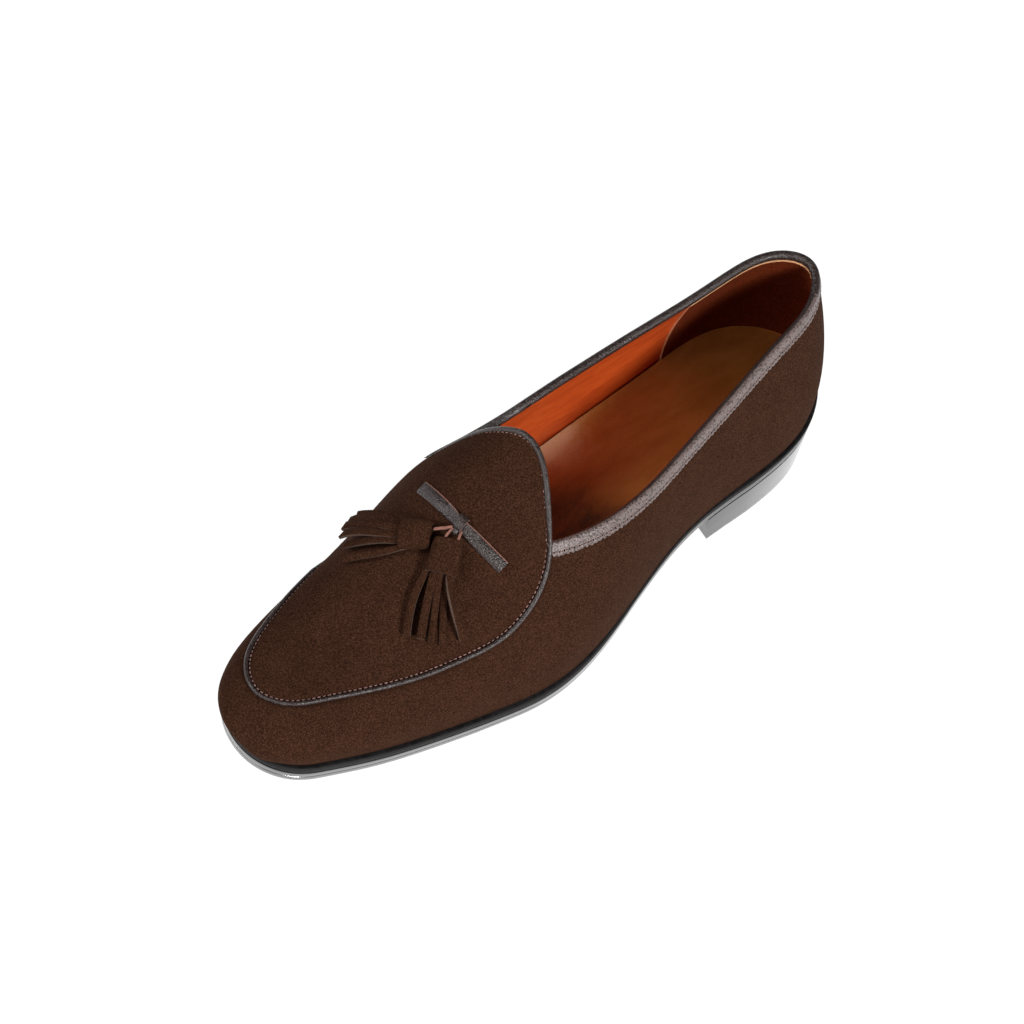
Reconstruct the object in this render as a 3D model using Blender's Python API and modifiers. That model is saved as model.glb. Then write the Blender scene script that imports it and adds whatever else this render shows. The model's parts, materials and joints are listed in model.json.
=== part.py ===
"""Slip-on dress shoe with tassels, left foot, standing empty on its sole.

Frame: toe towards -Y, heel towards +Y, outer side towards +X, floor at Z = 0.
The tables are in millimetres. A station runs along the foot from the back of the heel to the toe.
"""
import math
from collections import namedtuple
from functools import lru_cache

import numpy as np
import bmesh
import bpy

# Driving sizes, in millimetres
LENGTH = 291.0          # along the seam where the upper meets the sole
MIDDLE = 147.4          # station that lies at Y = 0
CENTRE = 2.44           # distance across that lies at X = 0
GAP = 0.3               # between curved pieces that meet
WALL = 1.8              # suede with its backing
TOE_OFFSET = 4.7        # how far the tip of the toe lies to the outer side
FAN_HEEL = 34.0         # station that the back of the upper fans round
FAN_TOE = 250.0         # station that the toe fans round
FAN_SOFTNESS = 12.0
CREST_OFFSET = -6.5     # the crest lies over the inner half of the foot
OUTSOLE_FRONT = 4.9
OUTSOLE_BACK = 4.0
WELT_FRONT = 2.5
WELT_BACK = 1.4
WELT_DEPTH = 9.0        # how far the welt reaches in under the upper
INSOLE = 2.2
HEEL_BREAST = 83.0      # station of the heel's front at its top
HEEL_RAKE = 5.0         # how much further back the front lies at the floor
HEEL_TAPER = 1.2
BREAST_HOLLOW = 3.5
FLANGE = 6.0            # binding on the outside of the collar
FLANGE_INSIDE = 3.5
BINDING = 0.8
BINDING_STOP_OUTER = 3.1    # how far before the corner the binding ends
BINDING_STOP_INNER = 7.5
PIPING_WIDTH = 2.7
PIPING_HEIGHT = 1.5
ROWS_WALL = 9
ROWS_APRON = 7

Outline = namedtuple("Outline", "station outer inner")
OUTLINE = (
    # seam between upper and sole: distance to either side of the middle line
    Outline(8, 16.2, 16.8),
    Outline(28, 29.4, 27.6),
    Outline(60, 33.8, 28.4),
    Outline(100, 36.0, 28.8),
    Outline(140, 45.0, 33.4),
    Outline(175, 49.0, 43.4),
    Outline(200, 44.7, 42.6),
    Outline(225, 38.7, 39.0),
    Outline(250, 32.0, 34.3),
    Outline(270, 25.0, 28.7),
    Outline(283, 18.9, 19.2),
)

Seam = namedtuple("Seam", "station height")
SEAM = (
    # height of that seam: heel seat, arch, tread, toe spring
    Seam(0, 27.5),
    Seam(40, 27.2),
    Seam(75, 26.7),
    Seam(110, 22.0),
    Seam(145, 12.6),
    Seam(180, 8.6),
    Seam(205, 8.0),
    Seam(240, 10.4),
    Seam(270, 13.9),
    Seam(292, 18.4),
)

Proud = namedtuple("Proud", "station edge")
PROUD = (
    # how far the sole's edge stands out past that seam
    Proud(0, 1.5),
    Proud(60, 1.5),
    Proud(85, 0.6),
    Proud(130, 0.6),
    Proud(160, 1.4),
    Proud(185, 1.9),
    Proud(300, 1.9),
)

Crest = namedtuple("Crest", "station height")
CREST = (
    # top of the foot form along its middle
    Crest(34, 128.0),
    Crest(90, 123.0),
    Crest(130, 98.0),
    Crest(165, 78.4),
    Crest(200, 59.6),
    Crest(230, 45.2),
    Crest(250, 37.4),
)

Fullness = namedtuple("Fullness", "station flare side top")
FULLNESS = (
    # flare: overhang of the wall; side: how high it stays steep; top: how wide the top stays
    Fullness(0, 5.0, 0.29, 0.26),
    Fullness(60, 3.2, 0.41, -0.16),
    Fullness(120, 2.5, 0.53, 0.53),
    Fullness(165, 3.3, 0.49, 0.63),
    Fullness(200, 3.1, 0.55, 0.56),
    Fullness(240, 5.0, 0.62, 0.62),
    Fullness(290, 9.0, 0.66, 0.72),
)

Inner = namedtuple("Inner", "station flare")
INNER = (
    # extra overhang of the inner side
    Inner(0, 0.0),
    Inner(120, 0.0),
    Inner(150, 0.6),
    Inner(162, 2.6),
    Inner(170, 4.2),
    Inner(178, 2.2),
    Inner(190, -1.4),
    Inner(205, -3.2),
    Inner(222, -4.4),
    Inner(245, -3.4),
    Inner(262, -4.2),
    Inner(272, -3.8),
    Inner(280, -0.2),
    Inner(287, 8.0),
    Inner(292, 12.5),
)
INNER_FROM = 4.0        # distance across where half of that overhang is reached
INNER_SOFTNESS = 3.5

Collar = namedtuple("Collar", "station height")
COLLAR = (
    # top edge of the quarters; it ends on the apron's loop at the corner station
    Collar(0, 92.8),
    Collar(35, 87.3),
    Collar(70, 79.9),
    Collar(105, 73.8),
    Collar(140, 69.2),
)
CORNER = 169.0

Apron = namedtuple("Apron", "station outer inner")
APRON = (
    # loop of piping round the apron and the end of the tongue
    Apron(155.2, 0.6, 16.0),
    Apron(159, 8.6, 27.5),
    Apron(165, 18.3, 34.6),
    Apron(172, 28.0, 38.8),
    Apron(180, 33.0, 40.8),
    Apron(190, 35.0, 41.4),
    Apron(200, 34.5, 40.5),
    Apron(215, 31.1, 37.8),
    Apron(230, 26.9, 34.4),
    Apron(247, 20.4, 30.2),
    Apron(264, 12.8, 24.8),
    Apron(276, 6.3, 18.0),
)
TONGUE_TIP = (-8.6, 153.8)
APRON_TIP = (-5.6, 282.5)

# Bow and tassels: plan places on the apron as (across, station), in millimetres
BOW_FROM = -24.0
BOW_TO = 19.4
BOW_STATION = 186.8
BOW_PULL = 2.6          # how far the strap bends forwards in its middle
BOW_WIDTH = 4.9
BOW_THICK = 1.3
KNOT = (-1.8, 189.3)
CAP_HEIGHT = 5.6

Tassel = namedtuple("Tassel", "name root mouth root_width mouth_width tip_height ends")
TASSELS = (
    # tip_height: of the strips' tips over the apron; ends: where those tips lie
    Tassel("tassel_front", (-0.4, 196.0), (6.0, 205.2), 9.6, 11.2, 1.1,
           ((14.4, 227.1), (17.6, 224.2), (21.0, 220.9), (24.2, 217.6), (26.8, 213.2), (27.0, 209.0))),
    Tassel("tassel_side", (-6.6, 199.0), (-14.4, 204.6), 7.6, 10.8, 2.3,
           ((-36.6, 200.6), (-37.0, 204.4), (-36.4, 208.2), (-34.4, 212.6), (-30.4, 217.0),
            (-24.4, 221.2))),
)
STRIP_WIDTH = 3.0
STRIP_THICK = 1.3

@lru_cache(maxsize=None)
def spline_bend(table, column):
    """Knots, values and second derivatives of the natural cubic through one column of a table."""
    xs = np.array([row.station for row in table], float)
    ys = np.array([getattr(row, column) for row in table], float)
    count = len(xs)
    step = np.diff(xs)
    matrix = np.eye(count)
    right = np.zeros(count)
    for i in range(1, count - 1):
        matrix[i, i - 1:i + 2] = step[i - 1], 2 * (step[i - 1] + step[i]), step[i]
        right[i] = 6 * ((ys[i + 1] - ys[i]) / step[i] - (ys[i] - ys[i - 1]) / step[i - 1])
    return xs, ys, step, np.linalg.solve(matrix, right)


def spline(table, column, at):
    """Natural cubic through one column of a table, read at the given stations."""
    xs, ys, step, bend = spline_bend(table, column)
    at = np.clip(np.asarray(at, float), xs[0] - 6.0, xs[-1] + 6.0)
    k = np.clip(np.searchsorted(xs, at, side="right") - 1, 0, len(xs) - 2)
    low = xs[k + 1] - at
    high = at - xs[k]
    curve = (bend[k] * low ** 3 + bend[k + 1] * high ** 3) / (6 * step[k])
    line_low = (ys[k] / step[k] - bend[k] * step[k] / 6) * low
    line_high = (ys[k + 1] / step[k] - bend[k + 1] * step[k] / 6) * high
    return curve + line_low + line_high


def closed_curve(points, count):
    """Smooth closed curve through plan points, as many even samples as asked for."""
    points = np.asarray(points, float)
    size = len(points)
    step = np.linalg.norm(np.roll(points, -1, 0) - points, axis=1) ** 0.7
    matrix = np.zeros((size, size))
    right = np.zeros((size, 2))
    for i in range(size):
        matrix[i, i - 1] += step[i - 1]
        matrix[i, i] += 2 * (step[i - 1] + step[i])
        matrix[i, (i + 1) % size] += step[i]
        right[i] = 6 * ((points[(i + 1) % size] - points[i]) / step[i]
                        - (points[i] - points[i - 1]) / step[i - 1])
    bend = np.linalg.solve(matrix, right)
    knots = np.concatenate([[0.0], np.cumsum(step)])
    at = np.linspace(0.0, knots[-1], count, endpoint=False)
    k = np.clip(np.searchsorted(knots, at, side="right") - 1, 0, size - 1)
    after = (k + 1) % size
    low = (knots[k + 1] - at)[:, None]
    high = (at - knots[k])[:, None]
    width = step[k][:, None]
    curve = (bend[k] * low ** 3 + bend[after] * high ** 3) / (6 * width)
    curve += (points[k] / width - bend[k] * width / 6) * low
    curve += (points[after] / width - bend[after] * width / 6) * high
    return curve


def loop_points(table, back, front):
    """Plan points round a table of outer and inner distances, from the back along the outer side."""
    outer = [(row.outer, row.station) for row in table]
    inner = [(-row.inner, row.station) for row in reversed(table)]
    return [back] + outer + [front] + inner


FEATHER = closed_curve(loop_points(OUTLINE, (0.0, 0.0), (TOE_OFFSET, LENGTH)), 1600)
TIP = int(np.argmax(FEATHER[:, 1]))
BACK = int(np.argmin(FEATHER[:, 1]))
TIP_STATION = FEATHER[TIP, 1]
BACK_STATION = FEATHER[BACK, 1]


AROUND = np.roll(FEATHER, -BACK, axis=0)
HALF_OUTER = AROUND[:(TIP - BACK) % len(FEATHER) + 1]
HALF_INNER = np.concatenate([AROUND[:1], AROUND[:(TIP - BACK) % len(FEATHER) - 1:-1]])


def feather_at(station, side):
    """Plan point of the seam at a station, on the outer side (+1) or the inner side (-1)."""
    half = HALF_OUTER if side > 0 else HALF_INNER
    return np.stack([np.interp(station, half[:, 1], half[:, 0]), np.asarray(station, float)], axis=-1)


def fan_station(station):
    """Station on the middle line that a wall section leans towards."""
    w = FAN_SOFTNESS
    low = FAN_HEEL + w * np.logaddexp(0.0, (station - FAN_HEEL) / w)
    return FAN_TOE - w * np.logaddexp(0.0, (FAN_TOE - low) / w)


def crest_at(station):
    """Point of the foot form's top line that belongs to a station of the seam."""
    fan = fan_station(station)
    x = CREST_OFFSET * np.clip((fan - FAN_HEEL) / 100.0, 0.0, 1.0)
    return np.stack([x, fan, spline(CREST, "height", fan)], axis=-1)


def wall(foot, v):
    """Points of the foot form above plan points of the seam; v runs from the seam (0) to the crest (1)."""
    foot = np.asarray(foot, float)
    v = np.asarray(v, float)
    station = foot[..., 1]
    crest = crest_at(station)
    reach = foot - crest[..., :2]
    radius = np.linalg.norm(reach, axis=-1)
    flat = reach / radius[..., None]
    base = spline(SEAM, "height", station)
    rise = crest[..., 2] - base
    share = 1 / (1 + np.exp((foot[..., 0] - INNER_FROM) / INNER_SOFTNESS))
    flare = spline(FULLNESS, "flare", station) + share * spline(INNER, "flare", station)
    side = spline(FULLNESS, "side", station)
    top = spline(FULLNESS, "top", station)
    weight = ((1 - v) ** 3, 3 * v * (1 - v) ** 2, 3 * v * v * (1 - v), v ** 3)
    out = weight[0] * radius + weight[1] * (radius + flare) + weight[2] * top * radius
    up = weight[0] * base + weight[1] * (base + side * rise) + (weight[2] + weight[3]) * crest[..., 2]
    plan = crest[..., :2] + flat * out[..., None]
    return np.concatenate([plan, up[..., None]], axis=-1)


def bisect(test, low, high, steps=40):
    """Value between low and high where the test turns from true to false."""
    low = np.array(low, float)
    high = np.array(high, float)
    for _ in range(steps):
        middle = (low + high) / 2
        yes = test(middle)
        low = np.where(yes, middle, low)
        high = np.where(yes, high, middle)
    return (low + high) / 2


APRON_LOOP = closed_curve(loop_points(APRON, TONGUE_TIP, APRON_TIP), 900)


def loop_reach(foot):
    """Distance from the crest point to the apron's loop, along each wall section's plan line."""
    crest = crest_at(foot[:, 1])[:, :2]
    heading = foot - crest
    heading /= np.linalg.norm(heading, axis=1)[:, None]
    reach = np.zeros(len(foot))
    start = APRON_LOOP
    end = np.roll(APRON_LOOP, -1, axis=0)
    for i in range(len(foot)):
        cross_start = np.cross(heading[i], start - crest[i])
        cross_end = np.cross(heading[i], end - crest[i])
        hit = np.where(cross_start * cross_end < 0)[0]
        share = cross_start[hit] / (cross_start[hit] - cross_end[hit])
        along = (start[hit] + (end[hit] - start[hit]) * share[:, None] - crest[i]) @ heading[i]
        along = along[along > 0]
        if len(along):
            reach[i] = along.max()
    return reach


def loop_height(foot):
    """Place of the apron's loop up each wall section, as v."""
    reach = loop_reach(foot)
    crest = crest_at(foot[:, 1])[:, :2]

    def outside(v):
        return np.linalg.norm(wall(foot, v)[:, :2] - crest, axis=1) > reach
    return bisect(outside, np.full(len(foot), 0.12), np.ones(len(foot)))


def collar_height(foot, side):
    """Place of the collar's edge up each wall section, as v."""
    corner = feather_at(np.array([CORNER]), side)
    end = wall(corner, loop_height(corner))[0, 2]
    table = COLLAR + (Collar(CORNER, end),)

    def below(v):
        point = wall(foot, v)
        return point[:, 2] < spline(table, "height", np.clip(point[:, 1], 0.0, CORNER))
    return bisect(below, np.zeros(len(foot)), np.ones(len(foot)))


def wall_normal(foot, v):
    """Outward direction of the foot form, from small steps along and up the wall."""
    foot = np.asarray(foot, float)
    ring = AROUND
    up = wall(foot, np.minimum(v + 0.004, 1.0)) - wall(foot, np.maximum(v - 0.004, 0.0))
    near = np.argmin(np.linalg.norm(ring[None] - foot[:, None], axis=2), axis=1)
    heading = ring[(near + 3) % len(ring)] - ring[near - 3]
    heading /= np.linalg.norm(heading, axis=1)[:, None]
    along = wall(foot + heading * 0.2, v) - wall(foot - heading * 0.2, v)
    normal = np.cross(along, up)
    return normal / np.linalg.norm(normal, axis=1)[:, None]


def on_top(x, station):
    """Point of the foot form above a plan point of the apron."""
    x = np.atleast_1d(np.asarray(x, float))
    station = np.broadcast_to(np.asarray(station, float), x.shape).copy()
    side = np.where(x > CREST_OFFSET, 1, -1)
    guess = station.copy()
    for _ in range(4):
        outer = feather_at(guess, 1)
        inner = feather_at(guess, -1)
        foot = np.where((side > 0)[:, None], outer, inner)
        v = bisect(lambda v: side * (wall(foot, v)[:, 0] - x) > 0, np.full(len(x), 0.12), np.ones(len(x)))
        point = wall(foot, v)
        guess = guess + station - point[:, 1]
    return point


def raised(x, station, height):
    """Point at a height above the apron, measured square to it."""
    x = np.atleast_1d(np.asarray(x, float))
    station = np.broadcast_to(np.asarray(station, float), x.shape)
    across = on_top(x + 0.5, station) - on_top(x - 0.5, station)
    along = on_top(x, station - 0.5) - on_top(x, station + 0.5)
    normal = np.cross(across, along * np.array([1.0, -1.0, 1.0])) * np.array([1.0, -1.0, 1.0])
    normal /= np.linalg.norm(normal, axis=1)[:, None]
    return on_top(x, station) + normal * np.reshape(height, (-1, 1))


def offset_ring(foot, distance):
    """Plan points moved square to the seam, outwards for a positive distance."""
    ring = AROUND
    near = np.argmin(np.linalg.norm(ring[None] - foot[:, None], axis=2), axis=1)
    heading = ring[(near + 4) % len(ring)] - ring[near - 4]
    heading /= np.linalg.norm(heading, axis=1)[:, None]
    return foot + np.stack([heading[:, 1], -heading[:, 0]], axis=1) * np.reshape(distance, (-1, 1))


def column_stations():
    """Stations of the wall sections: close at the round ends and at the tongue."""
    heel = [BACK_STATION + FAN_HEEL * (1 - math.cos(k / 8 * math.pi / 2)) for k in range(9)]
    quarter = [46, 60, 74, 88, 102, 116, 129, 140, 148]
    tip = TONGUE_TIP[1]
    tongue = [tip + (CORNER - tip) * (k / 6) ** 1.5 for k in range(7)]
    front = [173, 178, 184, 191, 199, 208, 218, 228, 238, 247]
    toe = [247 + (TIP_STATION - 247) * math.sin(k / 9 * math.pi / 2) for k in range(1, 10)]
    return np.array(heel + quarter + tongue + front + toe)


def ring_of(stations):
    """Plan points round the seam at the given stations: outer side to the toe, inner side back."""
    outer = feather_at(stations, 1)
    inner = feather_at(stations[1:-1][::-1], -1)
    return np.concatenate([outer, inner])


def sole_levels(station):
    """Heights of insole seat, welt top and bottom, outsole top and bottom at a station."""
    share = np.interp(station, [70.0, 150.0], [0.0, 1.0])
    seam = spline(SEAM, "height", station)
    welt_top = seam - GAP
    welt_bottom = welt_top - (WELT_BACK + (WELT_FRONT - WELT_BACK) * share)
    sole_top = welt_bottom - GAP
    sole_bottom = sole_top - (OUTSOLE_BACK + (OUTSOLE_FRONT - OUTSOLE_BACK) * share)
    return seam, welt_top, welt_bottom, sole_top, np.maximum(sole_bottom - 0.15, 0.0)


def to_world(points):
    """Metres in the shoe's frame from (across, station, height) in millimetres."""
    points = np.asarray(points, float)
    return np.stack([points[..., 0] - CENTRE, MIDDLE - points[..., 1], points[..., 2]], axis=-1) * 0.001


for old in list(bpy.data.objects):
    bpy.data.objects.remove(old)
SHOE = bpy.data.collections.new("slip_on_shoe")
CUTTERS = bpy.data.collections.new("cutters")
bpy.context.scene.collection.children.link(SHOE)
bpy.context.scene.collection.children.link(CUTTERS)


def material(name, colour, roughness):
    """Plain finish of one piece."""
    finish = bpy.data.materials.new(name)
    finish.use_nodes = True
    shader = finish.node_tree.nodes["Principled BSDF"]
    shader.inputs["Base Color"].default_value = (*colour, 1.0)
    shader.inputs["Roughness"].default_value = roughness
    shader.inputs["Metallic"].default_value = 0.0
    return finish


SUEDE = material("brown_suede", (0.045, 0.020, 0.012), 0.9)
LEATHER = material("brown_leather", (0.050, 0.030, 0.024), 0.5)
BLACK = material("black_edge", (0.010, 0.010, 0.011), 0.3)
TAN = material("tan_leather", (0.28, 0.10, 0.03), 0.5)


def add_piece(name, points, faces, finish, collection=None):
    """Closed or open mesh from points in millimetres, welded and facing outwards."""
    mesh = bpy.data.meshes.new(name)
    mesh.from_pydata([tuple(p) for p in to_world(points)], [], faces)
    work = bmesh.new()
    work.from_mesh(mesh)
    bmesh.ops.remove_doubles(work, verts=work.verts, dist=3e-5)
    bmesh.ops.dissolve_degenerate(work, edges=work.edges, dist=1e-7)
    bmesh.ops.recalc_face_normals(work, faces=work.faces)
    work.to_mesh(mesh)
    work.free()
    piece = bpy.data.objects.new(name, mesh)
    piece.data.materials.append(finish)
    (collection or SHOE).objects.link(piece)
    mesh.shade_smooth()
    mesh.set_sharp_from_angle(angle=math.radians(40))
    return piece


def closed_loft(sections, loop=True):
    """Faces between equal rings of points; an open run of rings gets its two ends filled."""
    sections = np.asarray(sections, float)
    count, size = sections.shape[:2]
    faces = []
    for i in range(count if loop else count - 1):
        j = (i + 1) % count
        for k in range(size):
            m = (k + 1) % size
            faces.append((i * size + k, i * size + m, j * size + m, j * size + k))
    if not loop:
        faces.append(tuple(range(size)))
        faces.append(tuple((count - 1) * size + k for k in reversed(range(size))))
    return sections.reshape(-1, 3), faces


def plate(rings, pairs):
    """Closed slab: stacked rings joined round the side, with strips across the top and the bottom.

    A ring runs from the back along the outer side to the tip and home along the inner side.
    """
    size = len(rings[0])
    points = np.concatenate(rings)
    faces = []
    for r in range(len(rings) - 1):
        for k in range(size):
            m = (k + 1) % size
            faces.append((r * size + k, r * size + m, (r + 1) * size + m, (r + 1) * size + k))
    for r in (0, len(rings) - 1):
        for k in range(pairs - 1):
            a, b = r * size + k, r * size + k + 1
            c, d = r * size + (size - k - 1) % size, r * size + (size - k) % size
            quad = [a, b, c, d]
            unique = [v for i, v in enumerate(quad) if v not in quad[:i]]
            faces.append(tuple(unique))
    return points, faces


STATIONS = column_stations()
RING = ring_of(STATIONS)
PAIRS = len(STATIONS)


def build_upper():
    """Hollow suede wall: quarters and vamp up to collar or apron, then the apron with its tongue."""
    tip_index = int(np.argmin(abs(STATIONS - TONGUE_TIP[1])))
    corner_index = int(np.argmin(abs(STATIONS - CORNER)))
    points = []
    faces = []

    def patch(columns):
        """Quads between neighbouring columns of points."""
        base = sum(len(p) for p in points)
        rows = columns.shape[1]
        points.append(columns.reshape(-1, 3))
        for i in range(columns.shape[0] - 1):
            for k in range(rows - 1):
                a = base + i * rows + k
                faces.append((a, a + rows, a + rows + 1, a + 1))

    for side in (1, -1):
        foot = feather_at(STATIONS, side)
        edge = np.where(STATIONS <= CORNER, collar_height(foot, side), loop_height(foot))
        edge[corner_index] = loop_height(foot[corner_index:corner_index + 1])[0]
        share = np.linspace(0.0, 1.0, ROWS_WALL + 1)
        patch(np.stack([wall(foot, edge * s) for s in share], axis=1)[::side])
        front = foot[tip_index:]
        edge = loop_height(front)
        edge[0] = 1.0
        share = np.linspace(0.0, 1.0, ROWS_APRON + 1)
        patch(np.stack([wall(front, edge + (1 - edge) * s) for s in share], axis=1)[::side])
    piece = add_piece("upper", np.concatenate(points), faces, SUEDE)
    shell = piece.modifiers.new("wall", "SOLIDIFY")
    shell.thickness = WALL * 0.001
    shell.offset = -1.0
    return piece


def build_sole():
    """Outsole with softened edges, and the welt ring above it."""
    edge = np.interp(RING[:, 1], [row.station for row in PROUD], [row.edge for row in PROUD])
    rings = []
    for inset, level, shift in ((0.7, 3, 0.0), (0.0, 3, -0.7), (0.0, 4, 0.7), (0.7, 4, 0.0)):
        plan = offset_ring(RING, edge - inset)
        height = sole_levels(plan[:, 1])[level] + shift
        rings.append(np.column_stack([plan, height]))
    add_piece("outsole", *plate(rings, PAIRS), BLACK)
    profile = ((-0.5, 1, 0.0), (0.1, 1, -0.4), (0.1, 2, 0.4), (-0.3, 2, 0.0))
    sections = []
    for out, level, shift in profile:
        plan = offset_ring(RING, edge + out)
        sections.append(np.column_stack([plan, sole_levels(plan[:, 1])[level] + shift]))
    for level in (2, 1):
        plan = offset_ring(RING, np.full(len(RING), -WELT_DEPTH))
        sections.append(np.column_stack([plan, sole_levels(plan[:, 1])[level]]))
    add_piece("welt", *closed_loft(np.stack(sections, axis=1)), BLACK)
    rings = []
    for inset, lift in ((0.0, INSOLE), (0.0, 0.0)):
        plan = offset_ring(RING, np.full(len(RING), -(WALL + 0.6) - inset))
        rings.append(np.column_stack([plan, sole_levels(plan[:, 1])[0] + lift]))
    add_piece("insole", *plate(rings, PAIRS), TAN)


def build_heel():
    """One block under the back of the outsole, tapered, with a hollow front."""
    stations = np.append(STATIONS[STATIONS < HEEL_BREAST - 4], HEEL_BREAST)
    ring = np.concatenate([feather_at(stations, 1), feather_at(stations[1:][::-1], -1)])
    edge = np.interp(ring[:, 1], [row.station for row in PROUD], [row.edge for row in PROUD])
    top = offset_ring(ring, edge - 0.1)
    foot = offset_ring(ring, edge - HEEL_TAPER)
    foot[:, 1] *= (HEEL_BREAST - HEEL_RAKE) / HEEL_BREAST
    level = sole_levels(top[:, 1])[4] - GAP
    mid = top + (foot - top) * 0.06
    rings = [np.column_stack([top, level]), np.column_stack([mid, level - 1.3]),
             np.column_stack([foot, np.full(len(ring), 0.8)]),
             np.column_stack([foot + (np.array([0.0, 40.0]) - foot) * 0.02, np.zeros(len(ring))])]
    piece = add_piece("heel", *plate(rings, len(stations)), BLACK)
    half = 34.0
    radius = (half ** 2 + BREAST_HOLLOW ** 2) / (2 * BREAST_HOLLOW)
    work = bmesh.new()
    bmesh.ops.create_cone(work, cap_ends=True, segments=128, radius1=radius * 0.001,
                          radius2=radius * 0.001, depth=0.08)
    mesh = bpy.data.meshes.new("breast_cutter")
    work.to_mesh(mesh)
    work.free()
    cutter = bpy.data.objects.new("breast_cutter", mesh)
    CUTTERS.objects.link(cutter)
    lean = math.atan2(HEEL_RAKE, 21.0)
    middle = HEEL_BREAST - HEEL_RAKE / 2 - BREAST_HOLLOW + radius / math.cos(lean)
    cutter.location = ((2.8 - CENTRE) * 0.001, (MIDDLE - middle) * 0.001, 0.0105)
    cutter.rotation_euler = (lean, 0.0, 0.0)
    cutter.hide_render = True
    cutter.display_type = "WIRE"
    hollow = piece.modifiers.new("hollow_front", "BOOLEAN")
    hollow.operation = "DIFFERENCE"
    hollow.object = cutter
    return piece


def build_binding():
    """Leather folded over the collar's edge, from the outer corner round the heel to the inner one."""
    sections = []
    for side, order, stop in ((1, slice(None, None, -1), BINDING_STOP_OUTER),
                              (-1, slice(1, None), BINDING_STOP_INNER)):
        last = CORNER - stop
        run = np.append(STATIONS[STATIONS < last - 2.0], last)[order]
        foot = feather_at(run, side)
        edge = collar_height(foot, side)
        top = wall(foot, edge)
        out = wall_normal(foot, edge)
        up = top - wall(foot, edge - 0.01)
        up /= np.linalg.norm(up, axis=1)[:, None]

        def down(length, start):
            """Point of the wall at a distance below the edge."""
            return bisect(lambda v: np.linalg.norm(wall(start, v) - wall(start, edge), axis=1) > length,
                          edge * 0.0, edge)
        low = wall(foot, down(FLANGE, foot))
        ease = np.clip((run - 148.0) / (last - 148.0), 0.0, 1.0) ** 2
        ahead = feather_at(run + 3.2 * ease, side)
        at = bisect(lambda v: wall(ahead, v)[:, 2] < low[:, 2] - 0.3 * ease, edge * 0.0, edge)
        low = wall(ahead, at)
        low_out = wall_normal(ahead, at)
        inside = down(FLANGE_INSIDE, foot)
        inner = wall(foot, inside)
        inner_out = wall_normal(foot, inside)
        skin = GAP + BINDING
        corners = (low + low_out * skin, top + up * 0.4 + out * skin, top + up * skin + out * 0.2,
                   top + up * skin - out * (WALL + 0.2), top + up * 0.4 - out * (WALL + skin),
                   inner - inner_out * (WALL + skin), inner - inner_out * (WALL + GAP),
                   top + up * GAP - out * (WALL + GAP), top + up * GAP + out * GAP,
                   low + low_out * GAP)
        sections.append(np.stack(corners, axis=1))
    return add_piece("collar_binding", *closed_loft(np.concatenate(sections), loop=False), LEATHER)


def loop_run(count):
    """Even points on the apron's loop with the outward direction of the wall there."""
    tip = TONGUE_TIP[1]
    tongue = [tip + (CORNER - tip) * (k / 12) ** 1.6 for k in range(12)]
    toe = [244 + (TIP_STATION - 244) * math.sin(k / 24 * math.pi / 2) for k in range(25)]
    stations = np.array(tongue + list(np.linspace(CORNER, 240, 24)) + toe)
    outer = feather_at(stations, 1)
    inner = feather_at(stations[1:-1][::-1], -1)
    foot = np.concatenate([outer, inner])
    height = loop_height(foot)
    height[0] = 1.0
    place = wall(foot, height)
    out = wall_normal(foot, np.minimum(height, 0.995))
    span = np.linalg.norm(np.roll(place, -1, 0) - place, axis=1)
    run = np.concatenate([[0.0], np.cumsum(span)])
    at = np.linspace(0.0, run[-1], count, endpoint=False)
    close = np.concatenate([place, place[:1]])
    close_out = np.concatenate([out, out[:1]])
    place = np.stack([np.interp(at, run, close[:, k]) for k in range(3)], axis=1)
    out = np.stack([np.interp(at, run, close_out[:, k]) for k in range(3)], axis=1)
    return place, out / np.linalg.norm(out, axis=1)[:, None]


def build_piping():
    """Half-round leather piping on the apron's loop."""
    place, out = loop_run(100)
    along = np.roll(place, -1, 0) - np.roll(place, 1, 0)
    along /= np.linalg.norm(along, axis=1)[:, None]
    across = np.cross(out, along)
    across /= np.linalg.norm(across, axis=1)[:, None]
    sections = []
    for k in range(6):
        turn = math.pi * k / 5
        rise = GAP + PIPING_HEIGHT * math.sin(turn)
        sections.append(place + across * (PIPING_WIDTH / 2 * math.cos(turn)) + out * rise)
    return add_piece("apron_piping", *closed_loft(np.stack(sections, axis=1)), LEATHER)


def join(piece, others):
    """Boolean union of helper solids with a piece."""
    for k, other in enumerate(others):
        other.hide_render = True
        other.display_type = "WIRE"
        union = piece.modifiers.new(f"join_{k + 1}", "BOOLEAN")
        union.operation = "UNION"
        union.solver = "MANIFOLD"
        union.object = other


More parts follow.
